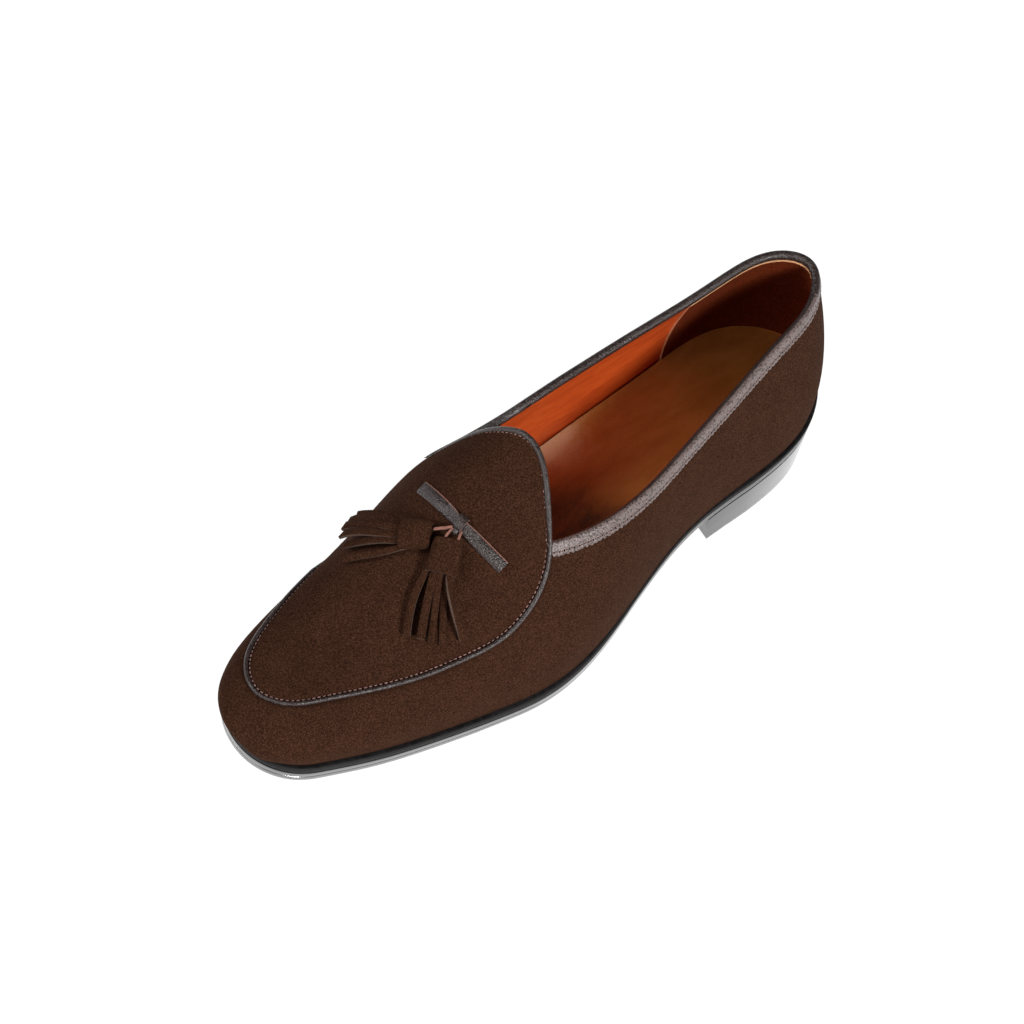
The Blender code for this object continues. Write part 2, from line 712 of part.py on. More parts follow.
def build_bow():
    """Flat strap across the apron, bent forwards a little, with its knot."""
    across = np.linspace(BOW_FROM, BOW_TO, 15)
    pull = BOW_PULL * (1 - (2 * (across - BOW_FROM) / (BOW_TO - BOW_FROM) - 1) ** 2)
    sections = []
    for edge, height in ((-0.5, 0.35), (0.5, 0.35), (0.5, 0.35 + BOW_THICK), (-0.5, 0.35 + BOW_THICK)):
        sections.append(raised(across, BOW_STATION + pull + edge * BOW_WIDTH, np.full(15, height)))
    piece = add_piece("bow", *closed_loft(np.stack(sections, axis=1), loop=False), LEATHER)
    turn = math.pi * (np.arange(7) + 0.5)[:, None] / 7
    swing = 2 * math.pi * np.arange(10)[None, :] / 10
    spot_x = KNOT[0] - 3.4 * np.cos(turn) + 0.0 * swing
    spot_station = KNOT[1] + 3.6 * np.sin(turn) * np.cos(swing)
    height = 0.4 + 2.0 * (1 + np.sin(turn) * np.sin(swing))
    rings = raised(spot_x.ravel(), spot_station.ravel(), height.ravel()).reshape(7, 10, 3)
    knot = add_piece("knot_form", *closed_loft(rings, loop=False), LEATHER, CUTTERS)
    join(piece, [knot])
    return piece


def build_tassel(shape):
    """Rolled cap lying on the apron with its strips fanned out."""
    root = np.array(shape.root)
    mouth = np.array(shape.mouth)
    axis = (mouth - root) / np.linalg.norm(mouth - root)
    cross = np.array([-axis[1], axis[0]])
    share = np.array([0.0, 0.12, 0.5, 0.88, 1.0])[:, None]
    swell = np.array([0.72, 0.96, 1.0, 0.99, 0.9])[:, None]
    turn = 2 * math.pi * np.arange(12)[None, :] / 12
    width = shape.root_width + (shape.mouth_width - shape.root_width) * share
    aside = width / 2 * swell * np.cos(turn)
    plan = root + (mouth - root) * share[..., None] + cross * aside[..., None]
    height = 0.4 + CAP_HEIGHT / 2 * (1 + swell * np.sin(turn))
    rings = raised(plan[..., 0].ravel(), plan[..., 1].ravel(), height.ravel()).reshape(5, 12, 3)
    piece = add_piece(shape.name, *closed_loft(rings, loop=False), SUEDE)
    strips = []
    share = np.linspace(0.0, 1.0, 7)[:, None]
    for k, end in enumerate(shape.ends):
        spread = 0.5 - (k + 0.5) / len(shape.ends)
        start = root + (mouth - root) * (0.58 + 0.04 * k) + cross * spread * shape.mouth_width * 0.74
        bend = start + (mouth - root) * 0.55
        run = start * (1 - share) ** 2 + bend * 2 * share * (1 - share) + np.array(end) * share ** 2
        heading = (bend - start) * (1 - share) + (np.array(end) - bend) * share
        heading /= np.linalg.norm(heading, axis=1)[:, None]
        square = np.stack([-heading[:, 1], heading[:, 0]], axis=1)
        start_height = 1.5 + 0.2 * k
        low = shape.tip_height + (start_height - shape.tip_height) * np.cos(share[:, 0] * math.pi / 2)
        sections = []
        for edge, lift in ((-0.5, 0.0), (0.5, 0.0), (0.5, STRIP_THICK), (-0.5, STRIP_THICK)):
            spot = run + square * edge * STRIP_WIDTH
            sections.append(raised(spot[:, 0], spot[:, 1], low + lift))
        points, faces = closed_loft(np.stack(sections, axis=1), loop=False)
        strips.append(add_piece(f"{shape.name}_strip_{k + 1}", points, faces, SUEDE, CUTTERS))
    join(piece, strips)
    return piece


build_upper()
build_sole()
build_heel()
build_binding()
build_piping()
build_bow()
for tassel in TASSELS:
    build_tassel(tassel)
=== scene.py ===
# %% [markdown]
# # A tassel slip-on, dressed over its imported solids
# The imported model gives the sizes, and this lesson gives the looks: suede, linings, piping, stitches
# and light. Every new piece is worked out from the same few tables as the solids, so it lands where
# the solids are without any fitting by eye.

# %% Load the frame
import json
import math
from collections import namedtuple
from functools import lru_cache

import bmesh
import bpy
import numpy as np
from mathutils import Matrix, Vector

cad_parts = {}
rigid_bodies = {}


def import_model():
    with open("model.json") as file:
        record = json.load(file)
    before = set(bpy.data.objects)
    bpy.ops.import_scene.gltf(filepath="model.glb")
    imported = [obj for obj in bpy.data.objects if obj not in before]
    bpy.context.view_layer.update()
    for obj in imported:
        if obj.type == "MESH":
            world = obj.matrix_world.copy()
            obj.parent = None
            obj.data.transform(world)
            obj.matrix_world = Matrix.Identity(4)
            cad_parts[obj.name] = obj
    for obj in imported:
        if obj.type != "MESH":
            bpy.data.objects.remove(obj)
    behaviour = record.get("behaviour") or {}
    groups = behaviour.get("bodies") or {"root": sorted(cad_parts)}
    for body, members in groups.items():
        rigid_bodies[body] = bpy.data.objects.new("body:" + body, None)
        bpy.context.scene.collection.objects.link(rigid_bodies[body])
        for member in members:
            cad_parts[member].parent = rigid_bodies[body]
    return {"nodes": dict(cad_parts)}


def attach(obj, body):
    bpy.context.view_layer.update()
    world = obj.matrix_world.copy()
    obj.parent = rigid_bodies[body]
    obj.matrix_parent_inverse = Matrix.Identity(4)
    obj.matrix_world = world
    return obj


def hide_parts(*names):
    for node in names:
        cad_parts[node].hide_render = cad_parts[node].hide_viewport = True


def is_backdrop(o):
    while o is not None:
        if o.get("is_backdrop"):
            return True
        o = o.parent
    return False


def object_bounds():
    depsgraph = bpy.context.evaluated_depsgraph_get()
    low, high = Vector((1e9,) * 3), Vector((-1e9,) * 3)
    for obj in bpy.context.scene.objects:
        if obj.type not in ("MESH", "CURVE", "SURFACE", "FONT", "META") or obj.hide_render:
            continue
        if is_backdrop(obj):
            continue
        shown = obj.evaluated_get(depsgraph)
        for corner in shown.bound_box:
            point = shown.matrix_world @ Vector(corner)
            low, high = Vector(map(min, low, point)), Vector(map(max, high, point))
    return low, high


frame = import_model()
CAD_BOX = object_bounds()
print("solids:", ", ".join(sorted(frame["nodes"])))

# %% [markdown]
# ## Camera
# The shoe was seen from in front of its outer side, from high up and far away, with the camera rolled
# a little. A long lens keeps the sides nearly parallel. The camera's axes are worked out from three
# angles and written straight into its matrix, which leaves nothing to chance about the roll.

# %% Camera
AZIMUTH, ELEVATION, ROLL = (math.radians(a) for a in (33.669, 53.518, 15.988))
DISTANCE = 2.02787                       # metres from the aim to the lens
AIM = Vector((-0.00244, 0.0014, 0.035))
SLIDE = (0.008758, -0.001865)            # how far the aim lies right of and above the picture's middle
FOCAL = 5396.94 / 1024                   # focal length as a share of the picture's width

back = Vector((math.sin(AZIMUTH) * math.cos(ELEVATION), -math.cos(AZIMUTH) * math.cos(ELEVATION),
               math.sin(ELEVATION)))
level = Vector((math.cos(AZIMUTH), math.sin(AZIMUTH), 0.0))
upright = back.cross(level)
right = level * math.cos(ROLL) + upright * math.sin(ROLL)
up = upright * math.cos(ROLL) - level * math.sin(ROLL)
camera = bpy.data.objects.new("camera", bpy.data.cameras.new("camera"))
camera.data.sensor_width = 36.0
camera.data.lens = 36.0 * FOCAL
camera.data.clip_end = 20.0
place = AIM + back * DISTANCE - right * SLIDE[0] - up * SLIDE[1]
camera.matrix_world = Matrix.Translation(place) @ Matrix((right, up, back)).transposed().to_4x4()
bpy.context.scene.collection.objects.link(camera)
bpy.context.scene.camera = camera
print("camera at", tuple(round(c, 3) for c in place))

# %% [markdown]
# ## The foot form
# A shoe is built round a last, a wooden foot. Here the last is a rule: plan tables give the seam
# between upper and sole and the line of the apron, and each wall section is one Bezier curve from that
# seam up to the crest. The tables are in millimetres; a station runs from the back of the heel to the
# toe. Anything drawn on the rule, such as a collar or a row of stitches, follows the shoe by itself.

# %% Tables of the foot form
LENGTH = 291.0
MIDDLE = 147.4          # station that lies at Y = 0
CENTRE = 2.44           # distance across that lies at X = 0
WALL = 1.8              # suede with its lining
TOE_OFFSET = 4.7
FAN_HEEL = 34.0
FAN_TOE = 250.0
FAN_SOFTNESS = 12.0
CREST_OFFSET = -6.5
CORNER = 169.0          # where the collar runs into the apron's piping
TONGUE_TIP = (-8.6, 153.8)
APRON_TIP = (-5.6, 282.5)


def rows_of(kind, rows):
    """Rows of a table, with the names of a kind."""
    return tuple(kind(*row) for row in rows)


Outline = namedtuple("Outline", "station outer inner")
OUTLINE = rows_of(Outline, (
    (8, 16.2, 16.8), (28, 29.4, 27.6), (60, 33.8, 28.4), (100, 36.0, 28.8), (140, 45.0, 33.4),
    (175, 49.0, 43.4), (200, 44.7, 42.6), (225, 38.7, 39.0), (250, 32.0, 34.3), (270, 25.0, 28.7),
    (283, 18.9, 19.2)))
APRON = rows_of(Outline, (
    (155.2, 0.6, 16.0), (159, 8.6, 27.5), (165, 18.3, 34.6), (172, 28.0, 38.8), (180, 33.0, 40.8),
    (190, 35.0, 41.4), (200, 34.5, 40.5), (215, 31.1, 37.8), (230, 26.9, 34.4), (247, 20.4, 30.2),
    (264, 12.8, 24.8), (276, 6.3, 18.0)))
Level = namedtuple("Level", "station height")
SEAM = rows_of(Level, (
    (0, 27.5), (40, 27.2), (75, 26.7), (110, 22.0), (145, 12.6), (180, 8.6), (205, 8.0), (240, 10.4),
    (270, 13.9), (292, 18.4)))
PROUD = ((0, 60, 85, 130, 160, 185, 300), (1.5, 1.5, 0.6, 0.6, 1.4, 1.9, 1.9))
CREST = rows_of(Level, (
    (34, 128.0), (90, 123.0), (130, 98.0), (165, 78.4), (200, 59.6), (230, 45.2), (250, 37.4)))
COLLAR = rows_of(Level, ((0, 92.8), (35, 87.3), (70, 79.9), (105, 73.8), (140, 69.2)))
Fullness = namedtuple("Fullness", "station flare side top")
FULLNESS = rows_of(Fullness, (
    (0, 5.0, 0.29, 0.26), (60, 3.2, 0.41, -0.16), (120, 2.5, 0.53, 0.53), (165, 3.3, 0.49, 0.63),
    (200, 3.1, 0.55, 0.56), (240, 5.0, 0.62, 0.62), (290, 9.0, 0.66, 0.72)))
INNER = rows_of(Level, (
    # extra overhang of the inner side
    (0, 0.0), (120, 0.0), (150, 0.6), (162, 2.6), (170, 4.2), (178, 2.2), (190, -1.4), (205, -3.2),
    (222, -4.4), (245, -3.4), (262, -4.2), (272, -3.8), (280, -0.2), (287, 8.0), (292, 12.5)))
INNER_FROM, INNER_SOFTNESS = 4.0, 3.5


# %% Curves through the tables
@lru_cache(maxsize=None)
def spline_bend(table, column):
    """Knots, values and second derivatives of the natural cubic through one column of a table."""
    xs = np.array([row.station for row in table], float)
    ys = np.array([getattr(row, column) for row in table], float)
    step = np.diff(xs)
    matrix = np.eye(len(xs))
    right_side = np.zeros(len(xs))
    for i in range(1, len(xs) - 1):
        matrix[i, i - 1:i + 2] = step[i - 1], 2 * (step[i - 1] + step[i]), step[i]
        right_side[i] = 6 * ((ys[i + 1] - ys[i]) / step[i] - (ys[i] - ys[i - 1]) / step[i - 1])
    return xs, ys, step, np.linalg.solve(matrix, right_side)


def spline(table, column, at):
    """Natural cubic through one column of a table, read at the given stations."""
    xs, ys, step, bend = spline_bend(table, column)
    at = np.clip(np.asarray(at, float), xs[0] - 6.0, xs[-1] + 6.0)
    k = np.clip(np.searchsorted(xs, at, side="right") - 1, 0, len(xs) - 2)
    low = xs[k + 1] - at
    high = at - xs[k]
    curve = (bend[k] * low ** 3 + bend[k + 1] * high ** 3) / (6 * step[k])
    return (curve + (ys[k] / step[k] - bend[k] * step[k] / 6) * low
            + (ys[k + 1] / step[k] - bend[k + 1] * step[k] / 6) * high)


def closed_curve(points, count):
    """Smooth closed curve through plan points, as many samples as asked for."""
    points = np.asarray(points, float)
    size = len(points)
    step = np.linalg.norm(np.roll(points, -1, 0) - points, axis=1) ** 0.7
    matrix = np.zeros((size, size))
    right_side = np.zeros((size, 2))
    for i in range(size):
        matrix[i, i - 1] += step[i - 1]
        matrix[i, i] += 2 * (step[i - 1] + step[i])
        matrix[i, (i + 1) % size] += step[i]
        right_side[i] = 6 * ((points[(i + 1) % size] - points[i]) / step[i]
                             - (points[i] - points[i - 1]) / step[i - 1])
    bend = np.linalg.solve(matrix, right_side)
    knots = np.concatenate([[0.0], np.cumsum(step)])
    at = np.linspace(0.0, knots[-1], count, endpoint=False)
    k = np.clip(np.searchsorted(knots, at, side="right") - 1, 0, size - 1)
    after = (k + 1) % size
    low = (knots[k + 1] - at)[:, None]
    high = (at - knots[k])[:, None]
    width = step[k][:, None]
    curve = (bend[k] * low ** 3 + bend[after] * high ** 3) / (6 * width)
    curve += (points[k] / width - bend[k] * width / 6) * low
    return curve + (points[after] / width - bend[after] * width / 6) * high


def loop_points(table, back_point, front_point):
    """Plan points round a table of outer and inner distances, from the back along the outer side."""
    outer = [(row.outer, row.station) for row in table]
    inner = [(-row.inner, row.station) for row in reversed(table)]
    return [back_point] + outer + [front_point] + inner


def run_along(line):
    """Length along a line of points, from 0 at its start."""
    return np.concatenate([[0.0], np.cumsum(np.linalg.norm(np.diff(line, axis=0), axis=1))])


FEATHER = closed_curve(loop_points(OUTLINE, (0.0, 0.0), (TOE_OFFSET, LENGTH)), 1600)
TIP = int(np.argmax(FEATHER[:, 1]))
BACK = int(np.argmin(FEATHER[:, 1]))
TIP_STATION = FEATHER[TIP, 1]
BACK_STATION = FEATHER[BACK, 1]
AROUND = np.roll(FEATHER, -BACK, axis=0)
HALF_OUTER = AROUND[:(TIP - BACK) % len(FEATHER) + 1]
HALF_INNER = np.concatenate([AROUND[:1], AROUND[:(TIP - BACK) % len(FEATHER) - 1:-1]])
APRON_LOOP = closed_curve(loop_points(APRON, TONGUE_TIP, APRON_TIP), 900)
CLOSED = np.concatenate([AROUND, AROUND[:1]])
RUN = run_along(CLOSED)
print("seam between upper and sole:", round(RUN[-1], 1), "mm round")


# %% The wall above the seam
def feather_at(station, side):
    """Plan point of the seam at a station, on the outer side (+1) or the inner side (-1)."""
    half = HALF_OUTER if side > 0 else HALF_INNER
    return np.stack([np.interp(station, half[:, 1], half[:, 0]), np.asarray(station, float)], axis=-1)


def ring_point(run):
    """Plan point of the seam at a run from the back: positive along the outer side."""
    at = np.mod(run, RUN[-1])
    return np.stack([np.interp(at, RUN, CLOSED[:, k]) for k in (0, 1)], axis=-1)


def there_and_back(stations):
    """Plan points of the seam along the outer side and back along the inner side."""
    return np.concatenate([feather_at(stations, 1), feather_at(stations[1:-1][::-1], -1)])


def crest_at(station):
    """Point of the form's top line that belongs to a station of the seam."""
    w = FAN_SOFTNESS
    low = FAN_HEEL + w * np.logaddexp(0.0, (station - FAN_HEEL) / w)
    fan = FAN_TOE - w * np.logaddexp(0.0, (FAN_TOE - low) / w)
    x = CREST_OFFSET * np.clip((fan - FAN_HEEL) / 100.0, 0.0, 1.0)
    return np.stack([x, fan, spline(CREST, "height", fan)], axis=-1)


def wall(foot, v):
    """Points of the form above plan points of the seam; v runs from the seam (0) to the crest (1)."""
    foot = np.asarray(foot, float)
    v = np.asarray(v, float)
    station = foot[..., 1]
    crest = crest_at(station)
    reach = foot - crest[..., :2]
    radius = np.linalg.norm(reach, axis=-1)
    flat = reach / radius[..., None]
    base = spline(SEAM, "height", station)
    rise = crest[..., 2] - base
    flare, side, top = (spline(FULLNESS, name, station) for name in ("flare", "side", "top"))
    inner_share = 1 / (1 + np.exp((foot[..., 0] - INNER_FROM) / INNER_SOFTNESS))
    flare = flare + inner_share * spline(INNER, "height", station)
    weight = ((1 - v) ** 3, 3 * v * (1 - v) ** 2, 3 * v * v * (1 - v), v ** 3)
    out = weight[0] * radius + weight[1] * (radius + flare) + weight[2] * top * radius
    high = weight[0] * base + weight[1] * (base + side * rise) + (weight[2] + weight[3]) * crest[..., 2]
    plan = crest[..., :2] + flat * out[..., None]
    return np.concatenate([plan, high[..., None]], axis=-1)


def unit(vectors):
    """Vectors of length one."""
    return vectors / np.linalg.norm(vectors, axis=-1, keepdims=True)


def seam_heading(foot):
    """Direction of the seam at plan points on it, outer side towards the toe."""
    flat = foot.reshape(-1, 2)
    near = np.argmin(np.linalg.norm(AROUND[None] - flat[:, None], axis=2), axis=1)
    return unit(AROUND[(near + 4) % len(AROUND)] - AROUND[near - 4]).reshape(foot.shape)


def wall_normal(foot, v):
    """Outward direction of the form, from small steps along and up the wall."""
    heading = seam_heading(foot)
    rise = wall(foot, np.minimum(v + 0.004, 1.0)) - wall(foot, np.maximum(v - 0.004, 0.0))
    along = wall(foot + heading * 0.2, v) - wall(foot - heading * 0.2, v)
    return unit(np.cross(along, rise))


def bisect(test, low, high, steps=36):
    """Value between low and high where the test turns from true to false."""
    low = np.array(low, float)
    high = np.array(high, float)
    for _ in range(steps):
        middle = (low + high) / 2
        yes = test(middle)
        low = np.where(yes, middle, low)
        high = np.where(yes, high, middle)
    return (low + high) / 2


# %% Places on the wall: apron, collar, top
def loop_height(foot):
    """Place of the apron's loop up each wall section, as v."""
    crest = crest_at(foot[:, 1])[:, :2]
    heading = unit(foot - crest)
    reach = np.zeros(len(foot))
    start = APRON_LOOP
    end = np.roll(APRON_LOOP, -1, axis=0)
    for i in range(len(foot)):
        a = start - crest[i]
        b = end - crest[i]
        cross_a = heading[i, 0] * a[:, 1] - heading[i, 1] * a[:, 0]
        cross_b = heading[i, 0] * b[:, 1] - heading[i, 1] * b[:, 0]
        hit = np.where(cross_a * cross_b < 0)[0]
        share = cross_a[hit] / (cross_a[hit] - cross_b[hit])
        along = (a[hit] + (b[hit] - a[hit]) * share[:, None]) @ heading[i]
        along = along[along > 0]
        reach[i] = along.max() if len(along) else 0.0

    def outside(v):
        return np.linalg.norm(wall(foot, v)[:, :2] - crest, axis=1) > reach
    return bisect(outside, np.full(len(foot), 0.12), np.ones(len(foot)))


def collar_height(foot, side):
    """Place of the collar's edge up each wall section, as v."""
    corner = feather_at(np.array([CORNER]), side)
    end = wall(corner, loop_height(corner))[0, 2]
    table = COLLAR + (Level(CORNER, end),)

    def below(v):
        point = wall(foot, v)
        return point[:, 2] < spline(table, "height", np.clip(point[:, 1], 0.0, CORNER))
    return bisect(below, np.zeros(len(foot)), np.ones(len(foot)))


def collar_line(run):
    """Plan points at runs from the back, with the place of the collar's edge above them."""
    foot = ring_point(run)
    return foot, np.where(run >= 0, collar_height(foot, 1), collar_height(foot, -1))


def below_edge(foot, edge, length):
    """Place up each wall section that lies a length below an edge."""
    top = wall(foot, edge)
    return bisect(lambda v: np.linalg.norm(wall(foot, v) - top, axis=1) > length, edge * 0.0, edge)


def on_top(x, station):
    """Points of the form above plan points of the apron."""
    side = np.where(x > CREST_OFFSET, 1, -1)
    guess = station.copy()
    for _ in range(4):
        foot = np.where((side > 0)[:, None], feather_at(guess, 1), feather_at(guess, -1))
        v = bisect(lambda v: side * (wall(foot, v)[:, 0] - x) > 0, np.full(len(x), 0.12), np.ones(len(x)))
        point = wall(foot, v)
        guess = guess + station - point[:, 1]
    return point


def raised(plan, height):
    """Points at heights above the apron, measured square to it, from plan points (across, station)."""
    plan = np.asarray(plan, float)
    x, station = plan.reshape(-1, 2).T
    across = on_top(x + 0.5, station) - on_top(x - 0.5, station)
    along = on_top(x, station + 0.5) - on_top(x, station - 0.5)
    square = unit(np.cross(across, along))
    lift = np.broadcast_to(height, plan.shape[:-1]).reshape(-1, 1)
    return (on_top(x, station) + square * lift).reshape(*plan.shape[:-1], 3)


def offset_ring(foot, distance):
    """Plan points moved square to the seam, outwards for a positive distance."""
    heading = seam_heading(foot)
    return foot + np.stack([heading[:, 1], -heading[:, 0]], axis=1) * np.reshape(distance, (-1, 1))


def to_world(points):
    """Metres in the shoe's frame from (across, station, height) in millimetres."""
    points = np.asarray(points, float)
    return np.stack([points[..., 0] - CENTRE, MIDDLE - points[..., 1], points[..., 2]], axis=-1) * 0.001


knot_spot = raised([[-2.2, 188.6]], 0.0)[0]
print("top of the apron under the knot:", knot_spot.round(1), "mm")

# %% [markdown]
# ## Making a mesh from a grid
# Most pieces are grids of points. One helper turns points and faces into an object, welds shared
# edges, points the faces outwards and shades them smooth. Extra numbers per point, such as the
# distance from a seam, are stored as attributes, so that a material can read them later.

# %% Mesh helpers
MADE = {}


def add_piece(name, points, faces, finishes, kinds=None, attributes=None, sharp=38.0, weld=2e-5):
    """Mesh object from points in millimetres; kinds gives each face its finish."""
    mesh = bpy.data.meshes.new(name)
    mesh.from_pydata([tuple(p) for p in to_world(points)], [], [tuple(f) for f in faces])
    for finish in finishes:
        mesh.materials.append(finish)
    if kinds is not None:
        mesh.polygons.foreach_set("material_index", np.asarray(kinds, np.int32))
    for title, values in (attributes or {}).items():
        layer = mesh.attributes.new(title, "FLOAT", "POINT")
        layer.data.foreach_set("value", np.asarray(values, np.float32).ravel())
    work = bmesh.new()
    work.from_mesh(mesh)
    bmesh.ops.remove_doubles(work, verts=work.verts, dist=weld)
    bmesh.ops.dissolve_degenerate(work, edges=work.edges, dist=1e-7)
    bmesh.ops.recalc_face_normals(work, faces=work.faces)
    work.to_mesh(mesh)
    work.free()
    mesh.shade_smooth()
    mesh.set_sharp_from_angle(angle=math.radians(sharp))
    piece = bpy.data.objects.new(name, mesh)
    bpy.context.scene.collection.objects.link(piece)
    MADE[name] = piece
    return piece


def settle(piece):
    """Turns a piece's modifiers into a plain mesh."""
    graph = bpy.context.evaluated_depsgraph_get()
    mesh = bpy.data.meshes.new_from_object(piece.evaluated_get(graph))
    old = piece.data
    piece.modifiers.clear()
    piece.data = mesh
    bpy.data.meshes.remove(old)
    return piece


def grid_faces(rows, columns, start=0, wrap=False):
    """Quads between neighbouring rows of points; wrap closes each row on itself."""
    faces = []
    for i in range(rows - 1):
        for k in range(columns if wrap else columns - 1):
            m = (k + 1) % columns
            a, b = start + i * columns, start + (i + 1) * columns
            faces.append((a + k, a + m, b + m, b + k))
    return faces


def double_sheet(layers):
    """Points and faces of two equal grids and of the rim between them, with kind 1 on the rim."""
    rows, columns = layers.shape[1:3]
    size = rows * columns
    faces = grid_faces(rows, columns) + grid_faces(rows, columns, start=size)
    kinds = [0] * len(faces)
    rim = (list(range(columns)) + [i * columns + columns - 1 for i in range(1, rows)]
           + [(rows - 1) * columns + k for k in reversed(range(columns - 1))]
           + [i * columns for i in reversed(range(1, rows - 1))])
    for a, b in zip(rim, rim[1:] + rim[:1]):
        faces.append((a, b, b + size, a + size))
        kinds.append(1)
    return layers.reshape(-1, 3), faces, kinds


def thicken(piece, title, thickness):
    """Gives a sheet a thickness in millimetres, inwards."""
    sheet = piece.modifiers.new(title, "SOLIDIFY")
    sheet.thickness = thickness * 0.001
    sheet.offset = -1.0


def tube(sections, closed=False):
    """Faces of a solid lofted through equal closed sections; an open run gets two end caps."""
    sections = np.asarray(sections, float)
    count, size = sections.shape[:2]
    faces = grid_faces(count, size, wrap=True)
    if closed:
        last = (count - 1) * size
        faces += [(last + k, last + (k + 1) % size, (k + 1) % size, k) for k in range(size)]
    else:
        faces.append(tuple(range(size)))
        faces.append(tuple((count - 1) * size + k for k in reversed(range(size))))
    return sections.reshape(-1, 3), faces


def count_of(piece):
    """Triangles of a piece's own mesh."""
    return sum(len(face.vertices) - 2 for face in piece.data.polygons)


# %% [markdown]
# ## Shared effects as shader groups
# Three effects come back in several finishes, so each is a node group with named inputs: the nap of
# suede, the pebbled grain of leather, and the streaks that polish and rubbing leave. A group only puts
# out values; colour, roughness and bump are decided in each material.

# %% Node helpers
def add_node(tree, kind, settings=None, **inputs):
    """A node with its settings; an input that is a socket gets linked, a constant is set."""
    node = tree.nodes.new(kind)
    for key, value in (settings or {}).items():
        setattr(node, key, value)
    for key, value in inputs.items():
        name = key.replace("_", " ")
        socket = node.inputs[int(name[1:]) if name[0] == "i" and name[1:].isdigit() else name]
        if isinstance(value, bpy.types.NodeSocket):
            tree.links.new(value, socket)
        else:
            socket.default_value = value
    return node


def new_group(name, inputs, outputs):
    """Shader group with float or vector inputs and float outputs; returns it with its end nodes."""
    group = bpy.data.node_groups.new(name, "ShaderNodeTree")
    for title, value in inputs:
        kind = "NodeSocketVector" if value is None else "NodeSocketFloat"
        socket = group.interface.new_socket(title, in_out="INPUT", socket_type=kind)
        if value is not None:
            socket.default_value = value
    for title in outputs:
        group.interface.new_socket(title, in_out="OUTPUT", socket_type="NodeSocketFloat")
    return group, group.nodes.new("NodeGroupInput"), group.nodes.new("NodeGroupOutput")


def math_node(tree, operation, a, b=0.0, c=0.0):
    """Result socket of a Math node."""
    return add_node(tree, "ShaderNodeMath", {"operation": operation}, i0=a, i1=b, i2=c).outputs[0]


def noise(tree, vector, scale, detail=2.0, roughness=0.5, distortion=0.0):
    """Noise value at a scale given per metre."""
    return add_node(tree, "ShaderNodeTexNoise", None, Vector=vector, Scale=scale, Detail=detail,
                    Roughness=roughness, Distortion=distortion).outputs[0]


def spread(tree, value, low, high):
    """Stretches a value's range low to high onto 0 to 1."""
    return add_node(tree, "ShaderNodeMapRange", {"interpolation_type": "SMOOTHSTEP"}, Value=value,
                    From_Min=low, From_Max=high).outputs[0]


def weighted(tree, *pairs, start=0.0):
    """Sum of values, each times its weight."""
    total = start
    for value, weight in pairs:
        total = math_node(tree, "MULTIPLY_ADD", value, weight, total)
    return total


# %% Nap, grain and streaks
NAP, ins, outs = new_group("suede_nap", (("Vector", None), ("Patches", 60.0), ("Fibres", 2600.0)),
                           ("Tone", "Height"))
at, patches, fibres = (ins.outputs[title] for title in ("Vector", "Patches", "Fibres"))
wide = spread(NAP, noise(NAP, at, patches, 3.0, 0.55, 0.6), 0.3, 0.7)
mottle = noise(NAP, at, math_node(NAP, "MULTIPLY", patches, 7.0), 3.0, 0.6)
fibre = noise(NAP, at, fibres, 2.0, 0.65)
tone = weighted(NAP, (wide, 0.06), (mottle, 0.2), (spread(NAP, fibre, 0.25, 0.75), 0.62), start=0.06)
NAP.links.new(tone, outs.inputs["Tone"])
NAP.links.new(weighted(NAP, (mottle, 0.6), start=fibre), outs.inputs["Height"])

GRAIN, ins, outs = new_group("leather_grain", (("Vector", None), ("Pebbles", 1500.0)), ("Height", "Pores"))
at, pebbles = (ins.outputs[title] for title in ("Vector", "Pebbles"))
cells = add_node(GRAIN, "ShaderNodeTexVoronoi", {"feature": "SMOOTH_F1"}, Vector=at, Scale=pebbles,
                 Smoothness=0.6).outputs["Distance"]
fine = noise(GRAIN, at, math_node(GRAIN, "MULTIPLY", pebbles, 2.4), 2.0)
GRAIN.links.new(weighted(GRAIN, (fine, 0.35), (cells, -1.0)), outs.inputs["Height"])
GRAIN.links.new(spread(GRAIN, cells, 0.35, 0.75), outs.inputs["Pores"])

STREAK, ins, outs = new_group("polish_streaks", (("Vector", None), ("Streaks", 300.0)), ("Mask", "Height"))
at, streaks = (ins.outputs[title] for title in ("Vector", "Streaks"))
long_marks = noise(STREAK, at, streaks, 4.0, 0.6, 0.3)
broad = noise(STREAK, at, math_node(STREAK, "MULTIPLY", streaks, 0.12), 2.0)
mask = weighted(STREAK, (long_marks, 0.6), (broad, 0.4))
STREAK.links.new(spread(STREAK, mask, 0.36, 0.64), outs.inputs["Mask"])
STREAK.links.new(long_marks, outs.inputs["Height"])
print("shared effects:", NAP.name, GRAIN.name, STREAK.name)


# %% [markdown]
# ## Finishes
# Each finish starts from a Principled shader whose fixed numbers are set on its own sockets. What
# changes over the surface, such as tone, gloss and relief, comes from the shared groups through a
# colour ramp, a range and a bump. Sizes are per metre, so 2000 means marks of about half a millimetre.

# %% Finish helpers
def new_finish(name, **fixed):
    """Material with a Principled shader; fixed numbers go straight on its sockets."""
    finish = bpy.data.materials.new(name)
    finish.use_nodes = True
    tree = finish.node_tree
    shader = tree.nodes["Principled BSDF"]
    for key, value in fixed.items():
        shader.inputs[key.replace("_", " ")].default_value = value
    at = tree.nodes.new("ShaderNodeTexCoord").outputs["Object"]
    return finish, tree, shader, at


def use_group(tree, group, **inputs):
    """Outputs of a placed group with its own values."""
    return add_node(tree, "ShaderNodeGroup", {"node_tree": group}, **inputs).outputs


def attribute(tree, name):
    """Value that a piece stores per point under a name."""
    return add_node(tree, "ShaderNodeAttribute", {"attribute_name": name}).outputs["Fac"]


